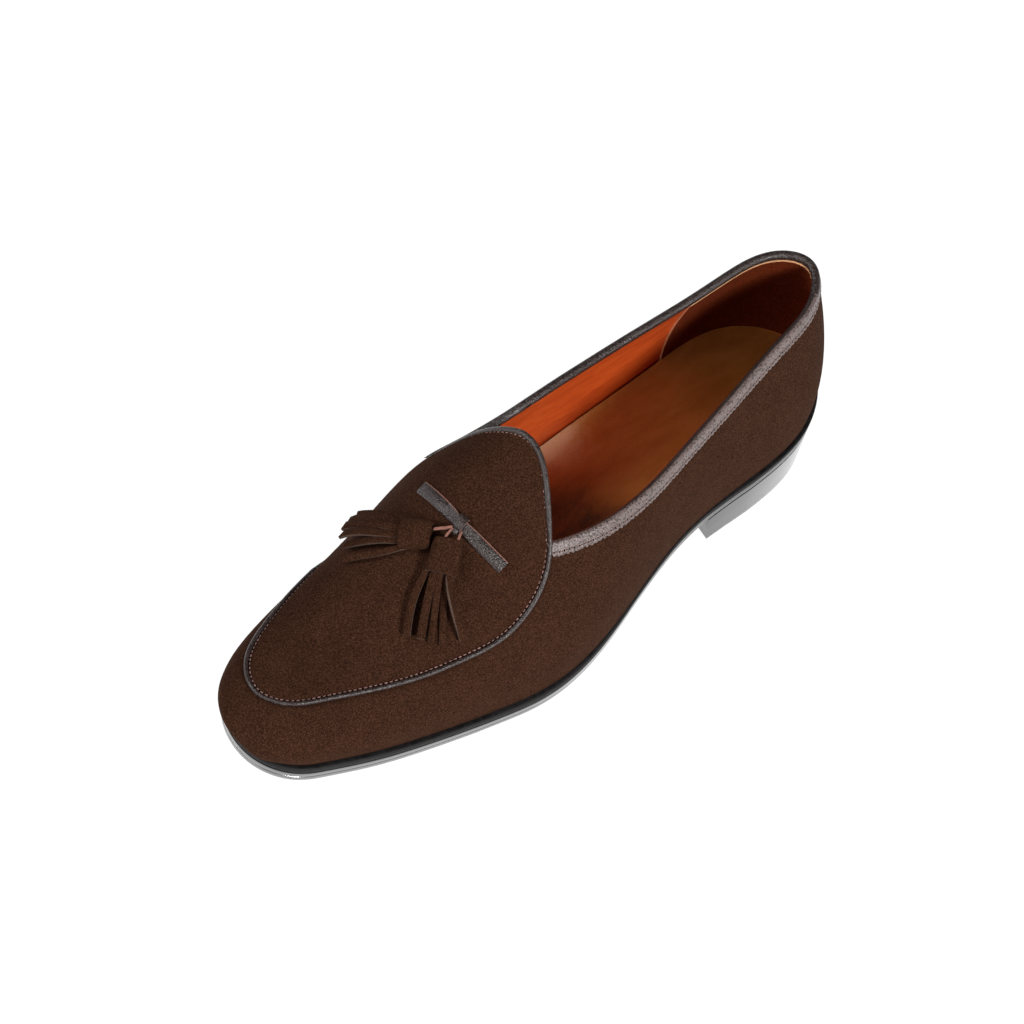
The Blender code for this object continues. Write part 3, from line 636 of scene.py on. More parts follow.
def paint(tree, shader, value, *stops):
    """Base colour from a ramp over a value, with stops (place, red, green, blue)."""
    node = add_node(tree, "ShaderNodeValToRGB", None, Fac=value)
    elements = node.color_ramp.elements
    while len(elements) < len(stops):
        elements.new(0.5)
    for element, (spot, *colour) in zip(elements, stops):
        element.position = spot
        element.color = (*colour, 1.0)
    tree.links.new(node.outputs["Color"], shader.inputs["Base Color"])


def set_range(tree, shader, title, value, low, high):
    """Spreads a value from 0 to 1 over a range of a shader input."""
    node = add_node(tree, "ShaderNodeMapRange", None, Value=value, To_Min=low, To_Max=high)
    tree.links.new(node.outputs[0], shader.inputs[title])


def bump(tree, shader, height, strength, depth):
    """Relief from a height, with its depth in metres."""
    node = add_node(tree, "ShaderNodeBump", None, Height=height, Strength=strength, Distance=depth)
    tree.links.new(node.outputs["Normal"], shader.inputs["Normal"])


def stretched(tree, vector, scale):
    """Coordinates drawn out by a scale for each axis."""
    return add_node(tree, "ShaderNodeMapping", None, Vector=vector, Scale=scale).outputs[0]


def plain_finish(name, group, sizes, stops, rough=None, relief=None, drawn=None, polish=None, **fixed):
    """Finish from one group: its tone as colour and roughness, its relief, a coat by the polish."""
    finish, tree, shader, at = new_finish(name, **fixed)
    values = use_group(tree, group, Vector=stretched(tree, at, drawn) if drawn else at, **sizes)
    tone = next(value for value in values if value.name != "Height")
    paint(tree, shader, tone, *stops)
    if rough:
        set_range(tree, shader, "Roughness", tone, *rough)
    if relief:
        bump(tree, shader, values["Height"], *relief)
    if polish:
        set_range(tree, shader, "Coat Weight", attribute(tree, "polish"), *polish)
    return finish


# %% Suede
SUEDE, tree, shader, at = new_finish("dark_suede", Roughness=0.95, Sheen_Weight=0.04, Sheen_Roughness=0.45,
                                     Sheen_Tint=(0.60, 0.34, 0.24, 1.0), Specular_IOR_Level=0.03)
nap = use_group(tree, NAP, Vector=at, Patches=70.0, Fibres=1900.0)
# painted shade: the suede darkens to 0.82 of its tone at the apron's seam, fading out about 3 mm away
beside_seam = spread(tree, attribute(tree, "seam_gap"), 0.6, 3.2)
painted_seam_shade = weighted(tree, (beside_seam, 0.18), start=0.82)
paint(tree, shader, math_node(tree, "MULTIPLY", nap["Tone"], painted_seam_shade), (0.2, 0.0165, 0.0064, 0.0036),
      (0.5, 0.0375, 0.0150, 0.0082), (0.8, 0.0740, 0.0325, 0.0185))
bump(tree, shader, nap["Height"], 0.55, 0.00035)

SUEDE_CUT = plain_finish("suede_cut_edge", NAP, {"Patches": 300.0, "Fibres": 3500.0},
                         ((0.3, 0.058, 0.035, 0.026), (0.7, 0.115, 0.076, 0.059)), relief=(0.6, 0.0003),
                         Roughness=0.95, Sheen_Weight=0.02, Specular_IOR_Level=0.1)
print("suede:", SUEDE.name, SUEDE_CUT.name)

# %% Brown trim leather
TRIM, tree, shader, at = new_finish("brown_trim_leather", Coat_Weight=0.08, Coat_Roughness=0.25,
                                    Specular_IOR_Level=0.55)
grain = use_group(tree, GRAIN, Vector=at, Pebbles=1700.0)
marks = use_group(tree, STREAK, Vector=at, Streaks=260.0)
paint(tree, shader, grain["Pores"], (0.0, 0.044, 0.030, 0.027), (0.6, 0.026, 0.0165, 0.0145),
      (1.0, 0.014, 0.008, 0.007))
set_range(tree, shader, "Roughness", marks["Mask"], 0.28, 0.4)
bump(tree, shader, grain["Height"], 0.8, 0.0003)

RAW = plain_finish("raw_leather_edge", NAP, {"Patches": 420.0, "Fibres": 4000.0},
                   ((0.3, 0.17, 0.060, 0.042), (0.7, 0.38, 0.165, 0.120)), relief=(0.7, 0.00025),
                   Roughness=0.85, Sheen_Weight=0.15)
# painted highlight: the flange's pale grey-pink stops stand in for a light's reflection on the binding
FLANGE = plain_finish("binding_flange_leather", GRAIN, {"Pebbles": 1500.0},
                      ((0.0, 0.165, 0.118, 0.108), (0.6, 0.100, 0.066, 0.059), (1.0, 0.036, 0.021, 0.018)),
                      rough=(0.32, 0.5), relief=(0.8, 0.0003), Coat_Weight=0.1, Coat_Roughness=0.4,
                      Specular_IOR_Level=0.7)
print("trim:", TRIM.name, FLANGE.name, RAW.name)

# %% Black sole edge, heel and welt
BLACK = plain_finish("black_sole_edge", STREAK, {"Streaks": 240.0},
                     ((0.2, 0.0065, 0.0065, 0.007), (0.8, 0.013, 0.013, 0.0135)), rough=(0.13, 0.24),
                     relief=(0.12, 0.0002), drawn=(1.0, 1.0, 9.0), polish=(0.0, 1.0),
                     Coat_Roughness=0.2, Coat_IOR=2.6, IOR=1.6)
HEEL_BLACK = plain_finish("black_heel_leather", STREAK, {"Streaks": 220.0},
                          ((0.2, 0.008, 0.008, 0.0085), (0.8, 0.016, 0.016, 0.0165)), rough=(0.16, 0.26),
                          relief=(0.12, 0.0002), drawn=(1.0, 1.0, 7.0), polish=(0.02, 0.75),
                          Coat_Roughness=0.12, Coat_IOR=1.7, IOR=1.4)
WELT_BLACK = plain_finish("black_welt", STREAK, {"Streaks": 400.0},
                          ((0.2, 0.0055, 0.005, 0.005), (0.8, 0.012, 0.011, 0.011)), rough=(0.5, 0.7),
                          relief=(0.2, 0.0002), Specular_IOR_Level=0.25)
print("sole:", BLACK.name, HEEL_BLACK.name, WELT_BLACK.name)

# %% Insole, lining and heel grip
INSOLE_TAN, tree, shader, at = new_finish("tan_insole_leather", Specular_IOR_Level=0.4)
grain = use_group(tree, GRAIN, Vector=at, Pebbles=2600.0)
marks = use_group(tree, STREAK, Vector=stretched(tree, at, (1.0, 0.35, 1.0)), Streaks=90.0)
# painted highlight and painted shade: the insole stores them per point, and the ramp's pale first stop and
# dark last stop paint them
tone = weighted(tree, (grain["Pores"], 0.1), (marks["Mask"], 0.3), start=attribute(tree, "painted_light"))
paint(tree, shader, tone, (0.0, 0.86, 0.56, 0.32), (0.3, 0.60, 0.245, 0.055), (0.6, 0.44, 0.165, 0.028),
      (1.0, 0.10, 0.042, 0.009))
set_range(tree, shader, "Roughness", marks["Mask"], 0.42, 0.56)
bump(tree, shader, grain["Height"], 0.16, 0.0001)

LINING, tree, shader, at = new_finish("rust_lining_leather", Specular_IOR_Level=0.4)
grain = use_group(tree, GRAIN, Vector=at, Pebbles=2000.0)
marks = use_group(tree, STREAK, Vector=stretched(tree, at, (1.0, 0.4, 1.6)), Streaks=150.0)
tone = weighted(tree, (grain["Pores"], 0.2), (marks["Mask"], 0.8))
paint(tree, shader, tone, (0.0, 0.70, 0.108, 0.017), (0.5, 0.60, 0.080, 0.010), (1.0, 0.46, 0.056, 0.007))
set_range(tree, shader, "Roughness", marks["Mask"], 0.42, 0.6)
bump(tree, shader, marks["Height"], 0.25, 0.0003)

GRIP = plain_finish("rust_grip_suede", NAP, {"Patches": 80.0, "Fibres": 2200.0},
                    ((0.3, 0.070, 0.010, 0.0022), (0.7, 0.19, 0.032, 0.0065)), relief=(0.5, 0.0003),
                    Roughness=0.95, Specular_IOR_Level=0.1)
GRIP_EDGE = plain_finish("grip_raw_edge", NAP, {"Patches": 400.0, "Fibres": 3500.0},
                         ((0.25, 0.66, 0.30, 0.13), (0.75, 0.92, 0.55, 0.30)), Roughness=0.8)
print("inside:", INSOLE_TAN.name, LINING.name, GRIP.name, GRIP_EDGE.name)

# %% Thread and needle holes
THREAD = plain_finish("waxed_thread", STREAK, {"Streaks": 5200.0},
                      ((0.15, 0.110, 0.054, 0.045), (0.85, 0.36, 0.190, 0.160)), relief=(0.5, 0.0001),
                      Roughness=0.6, Sheen_Weight=0.2)
DARK_THREAD = plain_finish("dark_thread", STREAK, {"Streaks": 5200.0},
                           ((0.15, 0.070, 0.030, 0.024), (0.85, 0.19, 0.092, 0.076)),
                           relief=(0.5, 0.0001), Roughness=0.7)
HOLE = plain_finish("needle_hole", NAP, {"Patches": 500.0, "Fibres": 3000.0},
                    ((0.2, 0.004, 0.002, 0.0015), (0.8, 0.012, 0.006, 0.0045)),
                    Roughness=1.0, Specular_IOR_Level=0.0)
print("thread:", THREAD.name, DARK_THREAD.name, HOLE.name)

# %% [markdown]
# ## Suede upper
# Vamp and quarters were lasted in one sweep round the foot, and the apron was sewn in. The form gives
# that surface; the seam's dip under the piping, the soft swell beside it, the back seam and a few
# listed creases are small moves along the surface's own normal. A Solidify modifier then gives
# the sheet its real thickness, inwards.

# %% Grids on the foot form
def close_stations(heel, quarter, tongue, front, toe):
    """Stations of the wall sections: close at the round ends and at the tongue."""
    tip = TONGUE_TIP[1]
    turn = math.pi / 2
    return np.concatenate([
        BACK_STATION + FAN_HEEL * (1 - np.cos(np.linspace(0, turn, heel + 1))),
        np.linspace(BACK_STATION + FAN_HEEL, tip, quarter + 1)[1:-1],
        tip + (CORNER - tip) * np.linspace(0, 1, tongue + 1) ** 1.5,
        np.linspace(CORNER, 247, front + 1)[1:],
        247 + (TIP_STATION - 247) * np.sin(np.linspace(0, turn, toe + 1))[1:]])


def form_patches(stations, side, wall_rows, apron_rows, trim=0.0):
    """Wall patch and apron patch: plan points, places up the wall, distance from the apron's loop."""
    foot = feather_at(stations, side)
    start = int(np.argmin(abs(stations - TONGUE_TIP[1])))
    loop = loop_height(foot)
    loop[:start + 1] = 1.0
    free = stations < CORNER - 1e-6
    edge = np.where(free, collar_height(foot, side), loop)
    if trim:
        edge = np.where(free, below_edge(foot, edge, trim), edge)
    seam_line = wall(foot, loop)
    share = 1 - (1 - np.linspace(0, 1, wall_rows + 1)) ** 1.35
    yield foot[:, None], edge[:, None] * share, seam_line, -1.0
    share = np.linspace(0, 1, apron_rows + 1) ** 1.5
    low = loop[start:, None]
    yield foot[start:, None], low + (1 - low) * share, seam_line[start:], 1.0


Crease = namedtuple("Crease", "across station height wide long turn depth")
CREASES = rows_of(Crease, (
    # soft dents and swellings: centre, half width, half length, turn in plan, depth
    (40.0, 196.0, 22.0, 6.0, 16.0, 62.0, -0.30),
    (44.0, 178.0, 26.0, 7.0, 15.0, 70.0, -0.28),
    (37.0, 122.0, 44.0, 11.0, 22.0, 78.0, -0.35),
    (33.0, 92.0, 52.0, 10.0, 18.0, 84.0, 0.25),
    (-40.0, 180.0, 24.0, 7.0, 15.0, -66.0, -0.28),
    (-33.0, 120.0, 42.0, 10.0, 20.0, -78.0, -0.30),
    (10.0, 236.0, 38.0, 10.0, 18.0, 20.0, -0.16),
    (-16.0, 225.0, 45.0, 12.0, 16.0, -30.0, -0.14),
))
TOE_SWELL = 1.8         # how far the front of the toe swells over the sole


def surface_moves(points, distance):
    """Small moves along the normal: seam dip, swell beside it, back seam, toe and creases."""
    moves = -0.34 * np.exp(-(distance / 1.25) ** 2)
    moves += np.where(distance > 0, 0.26, 0.16) * np.exp(-((abs(distance) - 4.0) / 2.6) ** 2)
    x, station, high = points[..., 0], points[..., 1], points[..., 2]
    behind = np.clip((14.0 - station) / 10.0, 0.0, 1.0)
    moves += behind * (0.34 * np.exp(-((abs(x) - 1.7) / 1.1) ** 2) - 0.42 * np.exp(-(x / 0.6) ** 2))
    moves += TOE_SWELL * np.exp(-((x - 8.0) / 7.0) ** 2 - ((high - 19.0) / 4.5) ** 2) * (station > 262)
    for c in CREASES:
        turn = math.radians(c.turn)
        a = (x - c.across) * math.cos(turn) + (station - c.station) * math.sin(turn)
        b = (station - c.station) * math.cos(turn) - (x - c.across) * math.sin(turn)
        near = np.exp(-((high - c.height) / 16.0) ** 2)
        moves += c.depth * near * np.exp(-(a / c.long) ** 2 - (b / c.wide) ** 2)
    return moves


def form_piece(name, stations, rows, finishes, offset, trim=0.0, moved=True):
    """Open sheet on the foot form, both sides, at an offset along its normal."""
    points, faces, gaps, outward = [], [], [], []
    total = 0
    for side in (1, -1):
        for foot, v, seam_line, sign in form_patches(stations, side, *rows, trim=trim):
            base = wall(foot, v)
            square = wall_normal(foot, np.clip(v, 0.004, 0.996))
            distance = sign * np.linalg.norm(base - seam_line[:, None], axis=2)
            move = offset + (surface_moves(base, distance) if moved else 0.0)
            spot = base + square * np.reshape(move * np.ones(v.shape), (*v.shape, 1))
            points.append(spot.reshape(-1, 3))
            outward.append(square.reshape(-1, 3))
            gaps.append(abs(distance).ravel())
            faces += grid_faces(*v.shape, start=total)
            total += v.size
    piece = add_piece(name, np.concatenate(points), faces, finishes,
                      attributes={"seam_gap": np.concatenate(gaps)}, weld=6e-5, sharp=60.0)
    probe = to_world(np.concatenate(points)[len(points[0]) // 2])
    aim = np.concatenate(outward)[len(points[0]) // 2] * (1, -1, 1)
    face = min(piece.data.polygons, key=lambda f: (f.center - Vector(probe)).length)
    if face.normal.dot(Vector(aim)) < 0:
        piece.data.flip_normals()
    return piece


# %% Suede sheet
SUEDE_THICK = 1.25
dense = close_stations(22, 52, 20, 46, 40)
upper = form_piece("suede_upper", dense, (32, 22), [SUEDE], 0.0)
for vertex in upper.data.vertices:
    low = vertex.co.z * 1000 - float(spline(SEAM, "height", MIDDLE - vertex.co.y * 1000))
    if low < 0.05:
        vertex.co.z -= 0.00025
thicken(upper, "suede_thickness", SUEDE_THICK)
print("upper:", count_of(upper), "triangles on its outside")

# %% [markdown]
# ## Lining and heel grip
# Inside, rust-coloured leather lines the whole shoe, and a softer suede grip is stuck over it round
# the heel, with its cut edge showing as a pale line. Both are sheets on the same form, set further in.

# %% Lining
lining = form_piece("quarter_lining", close_stations(12, 30, 12, 22, 18), (18, 10), [LINING],
                    -SUEDE_THICK - 0.06, trim=1.0, moved=False)
thicken(lining, "lining_thickness", 0.5)

GRIP_TOP = 3.3          # below the collar's edge
GRIP_FRONT_HIGH = 71.0  # how far the grip runs forwards from the back, at the collar
GRIP_FRONT_LOW = 66.0   # and at the insole
runs = np.linspace(-1.0, 1.0, 121)
rows = np.linspace(0.0, 1.0, 25)
ends = GRIP_FRONT_LOW + (GRIP_FRONT_HIGH - GRIP_FRONT_LOW) * rows ** 1.3
layers = []
for depth in (WALL + 0.08, WALL + 0.9):
    layer = []
    for share, end in zip(rows, ends):
        foot, edge = collar_line(runs * end)
        v = below_edge(foot, edge, GRIP_TOP) * (0.03 + 0.97 * share)
        layer.append(wall(foot, v) - wall_normal(foot, v) * depth)
    layers.append(np.stack(layer))
points, faces, kinds = double_sheet(np.stack(layers))
grip = add_piece("heel_grip", points, faces, [GRIP, GRIP_EDGE], kinds)
print("lining and grip:", count_of(lining), count_of(grip), "triangles")

# %% [markdown]
# ## Insole
# A full sock of tan leather lies in the shoe, a little dished by the foot. Its colour carries a painted
# highlight, a pale patch along the far side, and painted shade where it runs in under the tongue.
# Strips of quads run across between matching places on both sides, with the same strips below for its
# thickness.

# %% Insole sock
SOCK_LIFT = 2.2         # top of the sock above the seam
SOCK_INSET = WALL + 0.55
# painted highlight (a pale patch on the far side) and painted shade (the front, towards the near side,
# darkened)
HIGHLIGHT_SPOT, HIGHLIGHT_SIZE = (-26.0, 112.0), (11.0, 13.0)
SHADE_FROM, SHADE_SOFTNESS = 115.0, 4.5
TAN_TONE, SHADE_DEPTH, HIGHLIGHT_STRENGTH = 0.28, 0.52, 0.5
dense_ring = close_stations(16, 40, 8, 30, 26)
outer, inner = (offset_ring(feather_at(dense_ring, side), -SOCK_INSET) for side in (1, -1))
across = np.linspace(0.0, 1.0, 25)
plan = outer[:, None] + (inner - outer)[:, None] * across[None, :, None]
level_at = spline(SEAM, "height", np.clip(plan[..., 1], 0, LENGTH))
width = np.linalg.norm(inner - outer, axis=1)[:, None]
curve = abs(2 * across - 1)[None] ** 3 * np.clip(width / 50.0, 0.0, 1.0) * 1.3 - 0.35
heights = (level_at + SOCK_LIFT + curve, level_at + 0.25)
layers = [np.concatenate([plan, height[..., None]], axis=2) for height in heights]
points, faces, _ = double_sheet(np.stack(layers))
# painted highlight and painted shade per point, stored for the insole's colour
highlight_across, highlight_along = ((points[:, k] - HIGHLIGHT_SPOT[k]) / HIGHLIGHT_SIZE[k] for k in (0, 1))
painted_highlight = np.exp(-highlight_across ** 2 - highlight_along ** 2)
painted_shade = 1.0 / (1.0 + np.exp(-(points[:, 1] + 0.5 * points[:, 0] - SHADE_FROM) / SHADE_SOFTNESS))
painted_light = np.clip(TAN_TONE + SHADE_DEPTH * painted_shade - HIGHLIGHT_STRENGTH * painted_highlight, -0.1, 0.9)
sock = add_piece("insole_sock", points, faces, [INSOLE_TAN], attributes={"painted_light": painted_light})
print("insole:", count_of(sock), "triangles")

# %% [markdown]
# ## Sole: welt, outsole and heel
# Black edges with a wax polish, which mirror the floor. The profile of each edge is a short list of
# steps in and down, swept round the seam, so the fine grooves between the layers are real shapes.

# %% Sole edges
WELT_DEPTH = 9.0        # how far the welt reaches in under the upper
TOE_DRAWN_IN = 1.3      # how far the sole's edge is drawn in at the inner toe
sole_stations = close_stations(34, 46, 8, 40, 60)
sole_ring = there_and_back(sole_stations)
at_toe = np.clip((sole_ring[:, 1] - 235.0) / 20.0, 0.0, 1.0)
at_inner_toe = np.exp(-((sole_ring[:, 0] + 23.0) / 10.0) ** 2) * at_toe
proud = np.interp(sole_ring[:, 1], *PROUD) - TOE_DRAWN_IN * at_inner_toe


def sole_levels(station):
    """Heights of welt top and bottom, outsole top and bottom at a station."""
    share = np.interp(station, [70.0, 150.0], [0.0, 1.0])
    welt_top = spline(SEAM, "height", station) - 0.3
    welt_bottom = welt_top - (1.4 + 1.1 * share)
    sole_top = welt_bottom - 0.3
    return welt_top, welt_bottom, sole_top, np.maximum(sole_top - (4.0 + 0.9 * share) - 0.15, 0.0)


def edge_ring(ring, out, upper_level, lower_level, share):
    """Ring of points at an offset from the seam, part of the way down between two levels."""
    plan = offset_ring(ring, out)
    levels = sole_levels(plan[:, 1])
    high, low_level = levels[upper_level], levels[lower_level]
    return np.column_stack([plan, high + (low_level - high) * share])


WELT_EDGE = ((-0.9, 0.0), (-0.25, 0.02), (0.02, 0.12), (0.12, 0.32), (0.12, 0.66), (0.02, 0.86),
             (-0.3, 0.98))      # steps out from the edge, share of the way down
sections = [edge_ring(sole_ring, proud + out, 0, 1, share) for out, share in WELT_EDGE]
inside = np.full(len(sole_ring), -WELT_DEPTH)
sections += [edge_ring(sole_ring, inside, 0, 1, 1.0), edge_ring(sole_ring, inside, 0, 1, 0.0)]
welt = add_piece("welt_edge", *tube(np.stack(sections, axis=1), closed=True), [WELT_BLACK], sharp=50.0)

SOLE_EDGE = ((0.9, 0.0), (0.3, 0.03), (0.05, 0.1), (0.0, 0.2), (0.0, 0.44), (0.05, 0.475), (0.24, 0.5),
             (0.05, 0.525), (0.0, 0.56), (0.03, 0.8), (0.14, 0.92), (0.4, 0.985), (0.8, 1.0))
BEVEL_ROWS, GROOVE_ROW = 3, 5       # the bevel is matt, and below the groove some polish stays
sections = [edge_ring(sole_ring, proud - out, 2, 3, share) for out, share in SOLE_EDGE]
size = len(sole_ring)
half = (size + 2) // 2
faces = grid_faces(len(sections), size, wrap=True)
for first in (0, (len(sections) - 1) * size):
    for k in range(half - 1):
        quad = [first + k, first + k + 1, first + (size - k - 1) % size, first + (size - k) % size]
        faces.append(tuple(dict.fromkeys(quad)))
points = np.concatenate(sections)
kinds = [1 if max(face) < BEVEL_ROWS * size else 0 for face in faces]
polish = np.clip((points[:, 1] - 78.0) / 50.0, 0.0, 1.0)
polish[GROOVE_ROW * size:] = np.maximum(polish[GROOVE_ROW * size:], 0.4)
outsole = add_piece("outsole_edge", points, faces, [BLACK, WELT_BLACK], kinds,
                    attributes={"polish": polish}, sharp=50.0)
print("sole:", count_of(welt), count_of(outsole), "triangles")

# %% Heel block
HEEL_BREAST, HEEL_RAKE, HEEL_TAPER, HEEL_DROP, BREAST_HOLLOW = 83.0, 5.0, 1.2, 21.0, 3.5
heel_stations = np.concatenate([sole_stations[:35], np.linspace(36, HEEL_BREAST, 40)])
side_out = feather_at(heel_stations, 1)
side_in = feather_at(heel_stations[1:], -1)[::-1]
ring = np.concatenate([side_out, side_in])
edge = np.interp(ring[:, 1], *PROUD)
breast = np.linspace(-1, 1, 26)[1:-1]
HEEL_EDGE = ((0.55, 0.0, 0.0), (0.12, 0.35, 0.0), (0.1, 0.9, 0.02), (0.1, 2.0, 0.06), (0.1, 11.0, 0.5),
             (0.1, 18.6, 0.93), (0.1, 20.2, 1.0), (0.35, 20.6, 1.0), (0.9, HEEL_DROP, 1.0))
sections = []
top_level = sole_levels(np.array([40.0]))[3][0] - 0.25
for inset, drop, share in HEEL_EDGE:
    plan = offset_ring(ring, edge - inset - HEEL_TAPER * share)
    plan[:, 1] *= 1 - share * HEEL_RAKE / HEEL_BREAST
    a, b = plan[len(side_out) - 1], plan[len(side_out)]
    a[1] -= inset - 0.1
    b[1] -= inset - 0.1
    front = a + (b - a) * ((breast + 1) / 2)[:, None]
    front[:, 1] -= BREAST_HOLLOW * (1 - breast ** 2)
    plan = np.concatenate([plan[:len(side_out)], front, plan[len(side_out):]])
    start = np.minimum(sole_levels(plan[:, 1])[3] - 0.25, top_level + 0.6)
    sections.append(np.column_stack([plan, start * (1 - drop / HEEL_DROP)]))
points, faces = tube(np.stack(sections), closed=False)
polish = np.clip((84.0 - points[:, 1]) / 40.0, 0.0, 1.0)
heel = add_piece("heel_block", points, faces, [HEEL_BLACK], attributes={"polish": polish}, sharp=50.0)
print("heel:", count_of(heel), "triangles")

# %% [markdown]
# ## Collar binding and apron piping
# A narrow strip of grained leather is folded over the collar, and a round piping hides the apron's
# seam and the tongue's end. Both are one cross-section swept along a path on the form. The binding's
# lower edge is drawn in a little at each stitch, so its outline is slightly scalloped.

# %% Collar binding
PITCH = 2.0
corner_run = [float(np.interp(CORNER + past, half_line[:, 1], run_along(half_line)))
              for half_line, past in ((HALF_OUTER, 1.0), (HALF_INNER, -0.6))]
run = np.linspace(corner_run[0], -corner_run[1], 1300)
foot, edge = collar_line(run)
top = wall(foot, edge)
out = wall_normal(foot, edge)
rise = unit(top - wall(foot, edge - 0.01))


def on_wall(distance, offset):
    """Points a distance below the collar's edge, at an offset from the wall."""
    v = below_edge(foot, edge, distance)
    return wall(foot, v) + wall_normal(foot, v) * np.reshape(offset * np.ones(len(foot)), (-1, 1))


stitch_line = on_wall(3.8, 0.78)
stitch_run = run_along(stitch_line)
wave = np.cos(2 * math.pi * stitch_run / PITCH)
ragged = 0.26 * wave + 0.12 * np.sin(stitch_run * 0.83) + 0.1 * np.sin(stitch_run * 2.31 + 1.0)
pinch = 0.1 * wave
sections = [on_wall(5.4 + ragged, 0.02), on_wall(5.45 + ragged, 0.42), on_wall(5.2 + ragged, 0.66),
            on_wall(4.4, 0.74 + pinch), on_wall(3.8, 0.68 - pinch), on_wall(3.2, 0.76 + pinch),
            on_wall(2.4, 0.84), on_wall(1.6, 0.8)]
for turn in np.linspace(0.0, math.pi, 9):
    swing_out = math.cos(turn) * 1.72 - 0.86
    sections.append(top + rise * (-0.75 + 1.5 * math.sin(turn)) + out * swing_out)
sections += [on_wall(1.6, -2.55), on_wall(2.4, -2.45), on_wall(2.7, -2.2), on_wall(2.7, -1.3),
             on_wall(1.0, -1.0), on_wall(1.0, -0.1)]
points, faces = tube(np.stack(sections, axis=1))
kinds = []
for place in run[:-1]:
    painted_highlight_rows = 11 if place > 25 else 7     # painted highlight: on the near side the bead also takes the pale flange leather
    kinds += [0 if k < painted_highlight_rows else 1 for k in range(len(sections))]
kinds += [1, 1]
binding = add_piece("collar_binding_leather", points, faces, [FLANGE, TRIM], kinds, sharp=55.0)
print("binding:", round(stitch_run[-1]), "mm long,", count_of(binding), "triangles")

# %% Apron piping
stations = close_stations(4, 4, 60, 70, 90)
stations = stations[int(np.argmin(abs(stations - TONGUE_TIP[1]))):]
pipe_foot = there_and_back(stations)
pipe_v = loop_height(pipe_foot)
pipe_v[0] = 1.0


def even_loop(points, extra, count):
    """Even samples of a closed line and of the vectors that go with it."""
    closed = np.concatenate([points, points[:1]])
    also = np.concatenate([extra, extra[:1]])
    length = run_along(closed)
    at = np.linspace(0.0, length[-1], count, endpoint=False)
    line = np.stack([np.interp(at, length, closed[:, k]) for k in range(3)], axis=1)
    return line, unit(np.stack([np.interp(at, length, also[:, k]) for k in range(3)], axis=1)), length[-1]


pipe, pipe_out, pipe_length = even_loop(wall(pipe_foot, pipe_v),
                                        wall_normal(pipe_foot, np.minimum(pipe_v, 0.995)), 640)
pipe_along = unit(np.roll(pipe, -1, 0) - np.roll(pipe, 1, 0))
pipe_across = unit(np.cross(pipe_out, pipe_along))
inward = np.sign(np.sum(pipe_across * (np.array([-4.0, 215.0, 45.0]) - pipe), axis=1).mean())
pipe_across *= inward
tongue_end = np.clip((CORNER - pipe[:, 1]) / 6.0, 0.0, 1.0)
hidden = np.clip((pipe[:, 1] - 160.0) / 8.0, 0.0, 1.0) * np.clip((226.0 - pipe[:, 1]) / 8.0, 0.0, 1.0)
hidden *= np.clip((-12.0 - pipe[:, 0]) / 8.0, 0.0, 1.0)
stand = (0.95 - 0.3 * tongue_end) * (1 - 0.8 * hidden)
sections = []
for turn in np.linspace(0.0, 2 * math.pi, 18, endpoint=False):
    sink = np.where(math.sin(turn) < 0, 0.55 + 1.6 * tongue_end, stand)
    wobble = 1 + 0.03 * np.sin(np.arange(len(pipe)) * 0.37) + 0.02 * np.sin(np.arange(len(pipe)) * 1.13)
    sections.append(pipe + pipe_across * ((0.88 + 0.22 * tongue_end) * math.cos(turn) * wobble)[:, None]
                    + pipe_out * (0.3 - 0.3 * hidden + sink * math.sin(turn))[:, None])
piping = add_piece("apron_piping_leather", *tube(np.stack(sections, axis=1), closed=True), [TRIM],
                   sharp=70.0)
print("piping:", round(pipe_length), "mm round,", count_of(piping), "triangles")

# %% [markdown]
# ## Rows of stitches
# Stitches repeat along a path, so Geometry Nodes set them out: a line is cut into equal steps, and on
# each step sits one small thread and, at its end, one needle hole. The tree has named inputs for its
# sizes and a fixed seed. The result becomes a plain mesh before it joins the shoe.

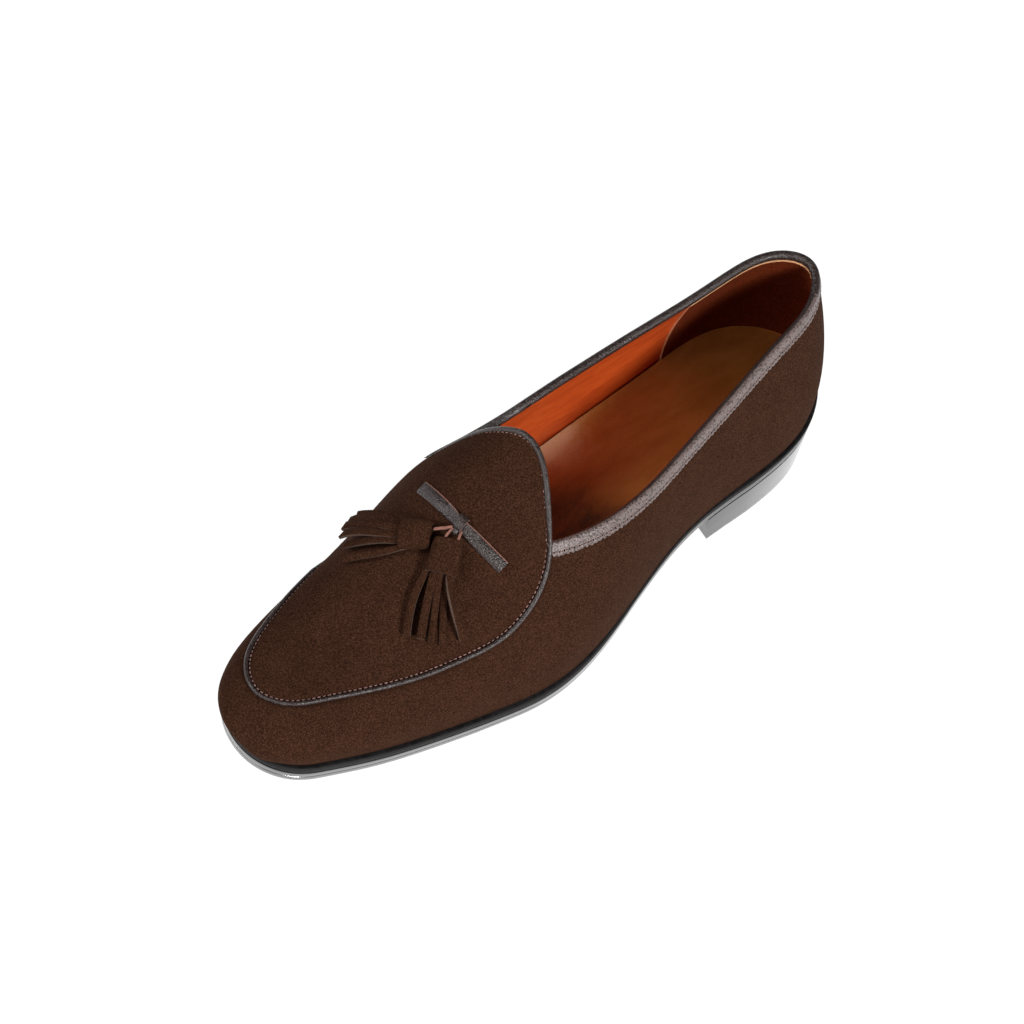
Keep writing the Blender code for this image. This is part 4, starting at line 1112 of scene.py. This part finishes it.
# %% Stitch tree
def stitch_tree():
    """Geometry Nodes tree that lays stitches and needle holes along a line."""
    tree = bpy.data.node_groups.new("stitch_row", "GeometryNodeTree")
    for title, kind in (("Geometry", "Geometry"), ("Pitch", "Float"), ("Stitch Size", "Vector"),
                        ("Hole Size", "Vector"), ("Thread", "Material"), ("Hole", "Material"),
                        ("Seed", "Int")):
        tree.interface.new_socket(title, in_out="INPUT", socket_type="NodeSocket" + kind)
    tree.interface.new_socket("Geometry", in_out="OUTPUT", socket_type="NodeSocketGeometry")
    given = tree.nodes.new("NodeGroupInput").outputs
    curve = add_node(tree, "GeometryNodeMeshToCurve", None, Mesh=given["Geometry"])
    even = add_node(tree, "GeometryNodeResampleCurve", {"mode": "LENGTH"}, Curve=curve.outputs[0],
                    Length=given["Pitch"])
    steps = add_node(tree, "GeometryNodeCurveToPoints", {"mode": "EVALUATED"}, Curve=even.outputs[0])
    facing = add_node(tree, "GeometryNodeInputNamedAttribute", {"data_type": "FLOAT_VECTOR"}, Name="facing")
    along = add_node(tree, "FunctionNodeAlignRotationToVector", {"axis": "X"},
                     Vector=steps.outputs["Tangent"])
    turned = add_node(tree, "FunctionNodeAlignRotationToVector", {"axis": "Z", "pivot_axis": "X"},
                      Rotation=along.outputs[0], Vector=facing.outputs[0])
    uneven = add_node(tree, "FunctionNodeRandomValue", {"data_type": "FLOAT_VECTOR"}, Min=(0.85, 0.85, 0.8),
                      Max=(1.12, 1.15, 1.2), Seed=given["Seed"])
    laid = []
    for size, material, shift in (("Stitch Size", "Thread", 0.0), ("Hole Size", "Hole", 0.5)):
        ball = add_node(tree, "GeometryNodeMeshUVSphere", None, Segments=8, Rings=5, Radius=0.5)
        shaped = add_node(tree, "GeometryNodeTransform", None, Geometry=ball.outputs[0], Scale=given[size])
        where = steps.outputs["Points"]
        if shift:
            step_on = add_node(tree, "ShaderNodeVectorMath", {"operation": "SCALE"},
                               i0=steps.outputs["Tangent"],
                               Scale=math_node(tree, "MULTIPLY", given["Pitch"], shift))
            where = add_node(tree, "GeometryNodeSetPosition", None, Geometry=where,
                             Offset=step_on.outputs[0]).outputs[0]
        many = add_node(tree, "GeometryNodeInstanceOnPoints", None, Points=where,
                        Instance=shaped.outputs[0], Rotation=turned.outputs[0], Scale=uneven.outputs[0])
        solid = add_node(tree, "GeometryNodeRealizeInstances", None, Geometry=many.outputs[0])
        smooth = add_node(tree, "GeometryNodeSetShadeSmooth", None, Geometry=solid.outputs[0])
        painted = add_node(tree, "GeometryNodeSetMaterial", None, Geometry=smooth.outputs[0],
                           Material=given[material])
        laid.append(painted.outputs[0])
    joined = tree.nodes.new("GeometryNodeJoinGeometry")
    for socket in reversed(laid):
        tree.links.new(socket, joined.inputs[0])
    end = tree.nodes.new("NodeGroupOutput")
    tree.links.new(joined.outputs[0], end.inputs[0])
    return tree


STITCHES = stitch_tree()


def stitch_row(name, line, facing, closed, stitch, hole, thread, seed):
    """Plain mesh of stitches along a line of points, lying square to the facing vectors."""
    mesh = bpy.data.meshes.new(name)
    count = len(line)
    edges = [(i, i + 1) for i in range(count - 1)] + ([(count - 1, 0)] if closed else [])
    mesh.from_pydata([tuple(p) for p in to_world(line)], edges, [])
    layer = mesh.attributes.new("facing", "FLOAT_VECTOR", "POINT")
    layer.data.foreach_set("vector", (facing * (1, -1, 1)).astype(np.float32).ravel())
    piece = bpy.data.objects.new(name, mesh)
    bpy.context.scene.collection.objects.link(piece)
    nodes = piece.modifiers.new("stitches", "NODES")
    nodes.node_group = STITCHES
    values = {"Pitch": PITCH * 0.001, "Stitch Size": stitch, "Hole Size": hole, "Thread": thread,
              "Hole": HOLE, "Seed": seed}
    for item in STITCHES.interface.items_tree:
        if item.in_out == "INPUT" and item.name in values:
            nodes[item.identifier] = values[item.name]
    MADE[name] = settle(piece)
    return piece


# %% Stitches along collar and apron
collar_facing = wall_normal(foot, below_edge(foot, edge, 3.8))
collar_stitches = stitch_row("collar_stitches", stitch_line - collar_facing * 0.12, collar_facing, False,
                             (0.0012, 0.0006, 0.00045), (0.0007, 0.00085, 0.0004), DARK_THREAD, 3)
apron_line = pipe + pipe_across * 1.35 + pipe_out * 0.02
apron_stitches = stitch_row("apron_stitches", apron_line, pipe_out, True,
                            (0.00145, 0.0005, 0.0004), (0.0007, 0.0006, 0.00028), THREAD, 8)
print("stitches:", count_of(collar_stitches), count_of(apron_stitches), "triangles")

# %% [markdown]
# ## Bow
# A flat strap lies across the apron, held by a narrow wrap of the same leather that ends in a small
# bead; short thongs lead from it to the tassels. All of them are ribbons: a rounded flat section swept
# along a path. The cut sides of a ribbon get their own finish, because the leather is pink inside.

# %% Ribbons
def ribbon(path, across, square, width, thick, corner, raw_rim=0):
    """Flat solid along a path; returns points, faces and kinds, with kind 1 on the cut sides."""
    count = len(path)
    width = np.broadcast_to(width, (count,))[:, None] / 2
    half_thick = thick / 2
    profile = ((-1, -half_thick + corner, 0), (-1, -half_thick, corner), (1, -half_thick, -corner),
               (1, -half_thick + corner, 0), (1, half_thick - corner, 0), (1, half_thick, -corner),
               (-1, half_thick, corner), (-1, half_thick - corner, 0))
    sections = [path + across * (side * width + inset) + square * lift for side, lift, inset in profile]
    points, faces = tube(np.stack(sections, axis=1))
    kinds = [0, 0, 0, 1, 0, 0, raw_rim, 1] * (count - 1) + [1, 1]
    return points, faces, kinds


def gather(parts):
    """Joins several sets of points, faces and kinds into one."""
    points, faces, kinds, total = [], [], [], 0
    for part in parts:
        points.append(part[0])
        faces += [tuple(i + total for i in face) for face in part[1]]
        kinds += part[2]
        total += len(part[0])
    return np.concatenate(points), faces, kinds


def laid_path(plan, height):
    """Path over the apron with its direction, the direction across it and the square to both."""
    path = raised(plan, height)
    square = unit(raised(plan, np.asarray(height) + 1.0) - path)
    along = unit(np.gradient(path, axis=0))
    across = unit(np.cross(square, along))
    return path, across, unit(np.cross(along, across))


# %% Bow strap, wrap, bead and thongs
BOW_FROM, BOW_TO, BOW_STATION, BOW_WIDTH, BOW_THICK = -24.0, 19.4, 186.8, 5.2, 1.2
BOW_PULL = 2.6
KNOT = (-1.8, 189.2)
at_x = np.linspace(BOW_FROM, BOW_TO, 61)
pinch = np.exp(-((at_x - KNOT[0]) / 4.2) ** 2)
bend = 1 - (2 * (at_x - BOW_FROM) / (BOW_TO - BOW_FROM) - 1) ** 2
plan = np.column_stack([at_x, BOW_STATION + BOW_PULL * bend])
parts = [ribbon(*laid_path(plan, 1.25 + 0.7 * pinch), BOW_WIDTH - 1.0 * pinch, BOW_THICK, 0.42, raw_rim=1)]
swing = np.linspace(-0.62 * math.pi, 0.72 * math.pi, 30)
station = KNOT[1] + 2.6 * np.sin(swing)
height = 1.65 + 1.5 * np.cos(swing)
wrap_plan = np.column_stack([KNOT[0] + 0.5 * np.sin(swing), station])
path = raised(wrap_plan, height)
along = unit(np.gradient(path, axis=0))
side_way = unit(raised(wrap_plan + (0.5, 0.0), height) - raised(wrap_plan - (0.5, 0.0), height))
parts.append(ribbon(path, side_way, unit(np.cross(along, side_way)),
                    4.0 - 0.9 * np.clip(np.sin(swing), 0, 1), 0.7, 0.15))
turn = np.linspace(0.0, math.pi, 11)[1:-1, None]
spin = np.linspace(0.0, 2 * math.pi, 14, endpoint=False)[None]
bead_plan = np.stack([KNOT[0] + 0.3 + 1.7 * np.cos(turn) + 0 * spin,
                      KNOT[1] + 3.1 + 1.5 * np.sin(turn) * np.cos(spin)], axis=-1)
points, faces = tube(raised(bead_plan, 1.8 + 1.5 * np.sin(turn) * np.sin(spin)))
parts.append((points, faces, [0] * len(faces)))
points, faces, kinds = gather(parts)
bow = add_piece("bow_strap", points, faces, [TRIM, RAW], kinds, sharp=45.0)

THONGS = (
    # start and end on the apron, heights there, width
    ((-3.0, 192.4), (-6.8, 196.8), 2.4, 3.8, 1.1),
    ((-2.9, 192.0), (-4.9, 194.6), 3.0, 3.0, 0.9),
    ((-2.4, 192.4), (-1.6, 196.0), 2.8, 4.6, 0.9),
    ((0.7, 191.0), (2.5, 194.0), 2.2, 3.8, 0.9),
)
parts = []
for start, end, low, high, width in THONGS:
    share = np.linspace(0.0, 1.0, 12)[:, None]
    plan = np.array(start) + (np.array(end) - np.array(start)) * share
    arch = low + (high - low) * share[:, 0] + 0.5 * np.sin(share[:, 0] * math.pi)
    parts.append(ribbon(*laid_path(plan, arch), width, 0.9, 0.2))
points, faces, kinds = gather(parts)
thongs = add_piece("bow_thongs", points, faces, [RAW, RAW], kinds, sharp=45.0)
print("bow:", count_of(bow), count_of(thongs), "triangles")

# %% [markdown]
# ## Tassels
# Each tassel is one strip of suede, cut into a fringe and rolled up: the uncut part becomes the cap and
# the fringe hangs out of its mouth. The cap is a spiral section, so the end of the roll shows as a step,
# and every strip has its own end, twist and width, read off the photograph.

# %% Tassel pieces
CAP_HEIGHT, CAP_LIFT, STRIP_THICK = 5.6, 0.35, 1.3
Strip = namedtuple("Strip", "place across station height twist curl width bow lead")
Tassel = namedtuple("Tassel", "name root mouth root_width mouth_width seam_turn strips")
FRONT_STRIPS = rows_of(Strip, (
    # place in the mouth; tip on the apron, height, twist and curl in degrees, width, sideways bow, lead
    (0.41, 13.4, 226.9, 1.8, -22.0, 0.0, 3.0, 3.4, 0.2),
    (-0.14, 24.0, 218.2, 0.3, 0.0, 0.0, 2.8, 0.3, 0.3),
    (0.02, 20.6, 221.4, 1.2, 10.0, 0.0, 2.8, 0.2, 0.2),
    (0.20, 17.4, 224.0, 3.4, -8.0, 0.0, 3.2, 0.6, 0.2),
    (-0.36, 26.9, 210.6, 2.2, 10.0, 62.0, 3.8, 3.6, 0.9)))
SIDE_STRIPS = rows_of(Strip, (
    (0.40, -33.6, 203.4, 4.0, 20.0, 0.0, 3.4, 0.8, 0.4),
    (0.25, -35.4, 205.2, 4.6, 8.0, 0.0, 3.8, 0.6, 0.2),
    (-0.27, -28.6, 216.6, 2.6, 0.0, 0.0, 3.6, 0.0, 0.3),
    (0.08, -34.0, 208.8, 4.8, 4.0, 0.0, 4.2, 0.2, 0.1),
    (-0.10, -31.4, 213.4, 4.2, -6.0, 0.0, 4.2, 0.0, 0.1),
    (-0.42, -24.0, 222.6, 1.5, 46.0, 0.0, 2.7, -2.6, 0.8)))
TASSELS = (
    Tassel("tassel_front_suede", (-0.7, 195.6), (6.0, 205.1), 10.2, 11.0, 2.2, FRONT_STRIPS),
    Tassel("tassel_side_suede", (-6.1, 198.5), (-14.3, 204.4), 9.2, 11.2, 2.2, SIDE_STRIPS),
)


def cap_axes(shape):
    """Root of a cap in plan, the way from there to its mouth, and the direction across."""
    root = np.array(shape.root)
    way = np.array(shape.mouth) - root
    axis = unit(way)
    return root, way, np.array([-axis[1], axis[0]])


def cap_sheet(shape):
    """Rolled suede of the cap: a spiral sheet lofted from root to mouth."""
    root, way, cross = cap_axes(shape)
    share = np.array([0.0, 0.05, 0.14, 0.3, 0.5, 0.7, 0.86, 0.95, 1.0])
    swell = np.array([0.84, 0.93, 0.98, 1.0, 1.0, 1.0, 1.0, 1.0, 0.99])
    turn = np.linspace(0.0, 2 * math.pi * 1.22, 54)
    grow = 0.86 + 0.2 * turn / (2 * math.pi)
    loops = []
    for inner in (0.0, 0.95):
        rings = []
        for s, w in zip(share, swell):
            width = (shape.root_width + (shape.mouth_width - shape.root_width) * s) * w * grow - 2 * inner
            tall = CAP_HEIGHT * (0.55 + 0.45 * w) * grow - 2 * inner
            angle = turn + shape.seam_turn
            round_x = np.sign(np.cos(angle)) * abs(np.cos(angle)) ** 0.6
            round_z = np.sign(np.sin(angle)) * abs(np.sin(angle)) ** 0.75
            plan = root + way * s + cross * (width / 2 * round_x)[:, None]
            rings.append(np.column_stack([plan, CAP_LIFT + CAP_HEIGHT / 2 + tall / 2 * round_z]))
        loops.append(np.stack(rings))
    flat = np.concatenate([loops[0], loops[1][:, ::-1]], axis=1)
    points, faces = tube(raised(flat[..., :2], flat[..., 2]))
    size = flat.shape[1]
    kinds = ([0] * (len(turn) - 1) + [1] + [0] * (len(turn) - 1) + [1]) * (len(share) - 1)
    caps = []
    for first in (0, (len(share) - 1) * size):
        caps += [(first + k, first + k + 1, first + size - 2 - k, first + size - 1 - k)
                 for k in range(len(turn) - 1)]
    half = len(caps) // 2
    return points, faces[:-2] + caps, kinds + [0] * half + [1] * half


def cap_core(shape):
    """Wound inside of the cap, which closes its root."""
    root, way, cross = cap_axes(shape)
    share = np.array([0.02, 0.06, 0.4, 0.8])[:, None]
    size = np.array([0.5, 0.78, 0.8, 0.76])[:, None]
    turn = np.linspace(0.0, 2 * math.pi, 20, endpoint=False)[None]
    width = (shape.root_width + (shape.mouth_width - shape.root_width) * share) * size
    plan = root + way * share[..., None] + cross * (width / 2 * np.cos(turn))[..., None]
    points, faces = tube(raised(plan, CAP_LIFT + CAP_HEIGHT / 2 * (1 + size * np.sin(turn))))
    return points, faces, [0] * len(faces)


def strip_part(shape, strip):
    """One strip of the fringe, from inside the cap to its tip."""
    root, way, cross = cap_axes(shape)
    tip = np.array([strip.across, strip.station])
    start = root + way * 0.5 + cross * strip.place * shape.mouth_width * 0.92
    lead = start + way * (0.62 + 0.12 * strip.lead)
    share = np.linspace(0.0, 1.0, 26)[:, None]
    plan = start * (1 - share) ** 2 + lead * 2 * share * (1 - share) + tip * share ** 2
    plan = plan + cross * strip.bow * (np.sin(share * math.pi) * share)
    begin = 2.0 + 1.8 * (1 - abs(strip.place) * 1.5) * (0.3 + 0.7 * (strip.height > 1.0))
    height = strip.height + (begin - strip.height) * np.cos(share[:, 0] * math.pi / 2) ** 1.2
    height = height + 0.35 * np.sin(share[:, 0] * 9.0 + strip.across) * share[:, 0]
    path, across_way, square = laid_path(plan, height)
    twist = np.radians(strip.twist) * np.clip((share - 0.25) / 0.75, 0.0, 1.0) ** 1.4
    twist = twist + np.radians(strip.curl) * np.sin(np.clip((share - 0.2) / 0.8, 0.0, 1.0) * math.pi)
    turned = across_way * np.cos(twist) + square * np.sin(twist)
    facing = square * np.cos(twist) - across_way * np.sin(twist)
    width = strip.width * (0.86 + 0.14 * share[:, 0])
    path = path + square * (strip.width / 2 * abs(np.sin(twist)))
    return ribbon(path, turned, facing, width, STRIP_THICK, 0.25)


FAR_FROM_SEAM = 9.0     # far from every seam, so the tassels get no painted seam shade
for shape in TASSELS:
    parts = [cap_sheet(shape), cap_core(shape)] + [strip_part(shape, strip) for strip in shape.strips]
    points, faces, kinds = gather(parts)
    tassel = add_piece(shape.name, points, faces, [SUEDE, SUEDE_CUT], kinds,
                       attributes={"seam_gap": np.full(len(points), FAR_FROM_SEAM)}, sharp=50.0)
    print(shape.name, count_of(tassel), "triangles")

# %% [markdown]
# ## Studio
# The shoe stands on a white sweep. The key comes from the right, so that the near wall shades the front
# of the insole; two weaker lights in front and one low on the right open the other sides. The floor
# glows a little by itself, so that it stays white right up to the sole.

# %% Floor and lights
FLOOR_LEVEL = -0.0004   # metres, just under the sole
LIT_SPOT = Vector((0.0, 0.0, 0.03))
floor_mesh = bpy.data.meshes.new("studio_floor")
floor_mesh.from_pydata([(x, y, FLOOR_LEVEL) for x, y in ((-4, -4), (4, -4), (4, 4), (-4, 4))], [],
                       [(0, 1, 2, 3)])
floor = bpy.data.objects.new("studio_floor", floor_mesh)
bpy.context.scene.collection.objects.link(floor)
PAPER, tree, shader, at = new_finish("white_paper", Roughness=0.8, Emission_Strength=0.95,
                                     Emission_Color=(1.0, 1.0, 1.0, 1.0), Specular_IOR_Level=0.1)
paint(tree, shader, noise(tree, at, 900.0), (0.3, 0.14, 0.14, 0.14), (0.7, 0.16, 0.16, 0.16))
floor_mesh.materials.append(PAPER)
floor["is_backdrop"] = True


def soft_light(name, spot, size, power):
    """Soft light at a spot, turned towards the shoe."""
    lamp = bpy.data.lights.new(name, "AREA")
    lamp.shape = "RECTANGLE"
    lamp.size, lamp.size_y = size
    lamp.energy = power
    holder = bpy.data.objects.new(name, lamp)
    holder.location = spot
    holder.rotation_euler = (LIT_SPOT - Vector(spot)).to_track_quat("-Z", "Y").to_euler()
    bpy.context.scene.collection.objects.link(holder)


soft_light("key_right", (1.15, -0.3, 0.9), (0.36, 0.36), 20.0)
soft_light("front_left", (-0.8, -0.8, 0.9), (0.5, 0.5), 8.5)
soft_light("front", (0.0, -1.2, 0.9), (0.8, 0.8), 4.0)
soft_light("low_right", (1.15, 0.68, 0.2), (0.9, 0.4), 2.5)
world = bpy.data.worlds.new("studio")
world.use_nodes = True
glow = world.node_tree.nodes["Background"].inputs
glow["Color"].default_value = (1.0, 1.0, 1.0, 1.0)
glow["Strength"].default_value = 0.08
bpy.context.scene.world = world
bpy.context.scene.view_settings.view_transform = "Standard"
print("lights:", sum(o.type == "LIGHT" for o in bpy.data.objects))

# %% [markdown]
# ## Joining the frame
# The shoe has no moving parts, so every piece rides on the one body. Each piece says which solid it
# stands for, and that solid is hidden. A finish slot of the record is listed with each piece but not
# used here, and the boxes are printed.

# %% Ride and replace
JOBS = (
    # piece, finish slot, solid that it stands for
    ("suede_upper", "brown_suede", "upper"),
    ("quarter_lining", "tan_leather", None),
    ("heel_grip", "tan_leather", None),
    ("insole_sock", "tan_leather", "insole"),
    ("welt_edge", "black_leather", "welt"),
    ("outsole_edge", "black_leather", "outsole"),
    ("heel_block", "black_leather", "heel"),
    ("collar_binding_leather", "brown_leather", "collar_binding"),
    ("collar_stitches", "brown_leather", None),
    ("apron_piping_leather", "brown_leather", "apron_piping"),
    ("apron_stitches", "brown_leather", None),
    ("bow_strap", "brown_leather", "bow"),
    ("bow_thongs", "brown_leather", None),
    ("tassel_front_suede", "brown_suede", "tassel_front"),
    ("tassel_side_suede", "brown_suede", "tassel_side"),
)
for name, slot, node in JOBS:
    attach(MADE[name], "root")
    if node:
        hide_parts(node)
boxes = {title: [[float(c) for c in corner] for corner in box]
         for title, box in (("cad", CAD_BOX), ("visual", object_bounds()))}
print(boxes)
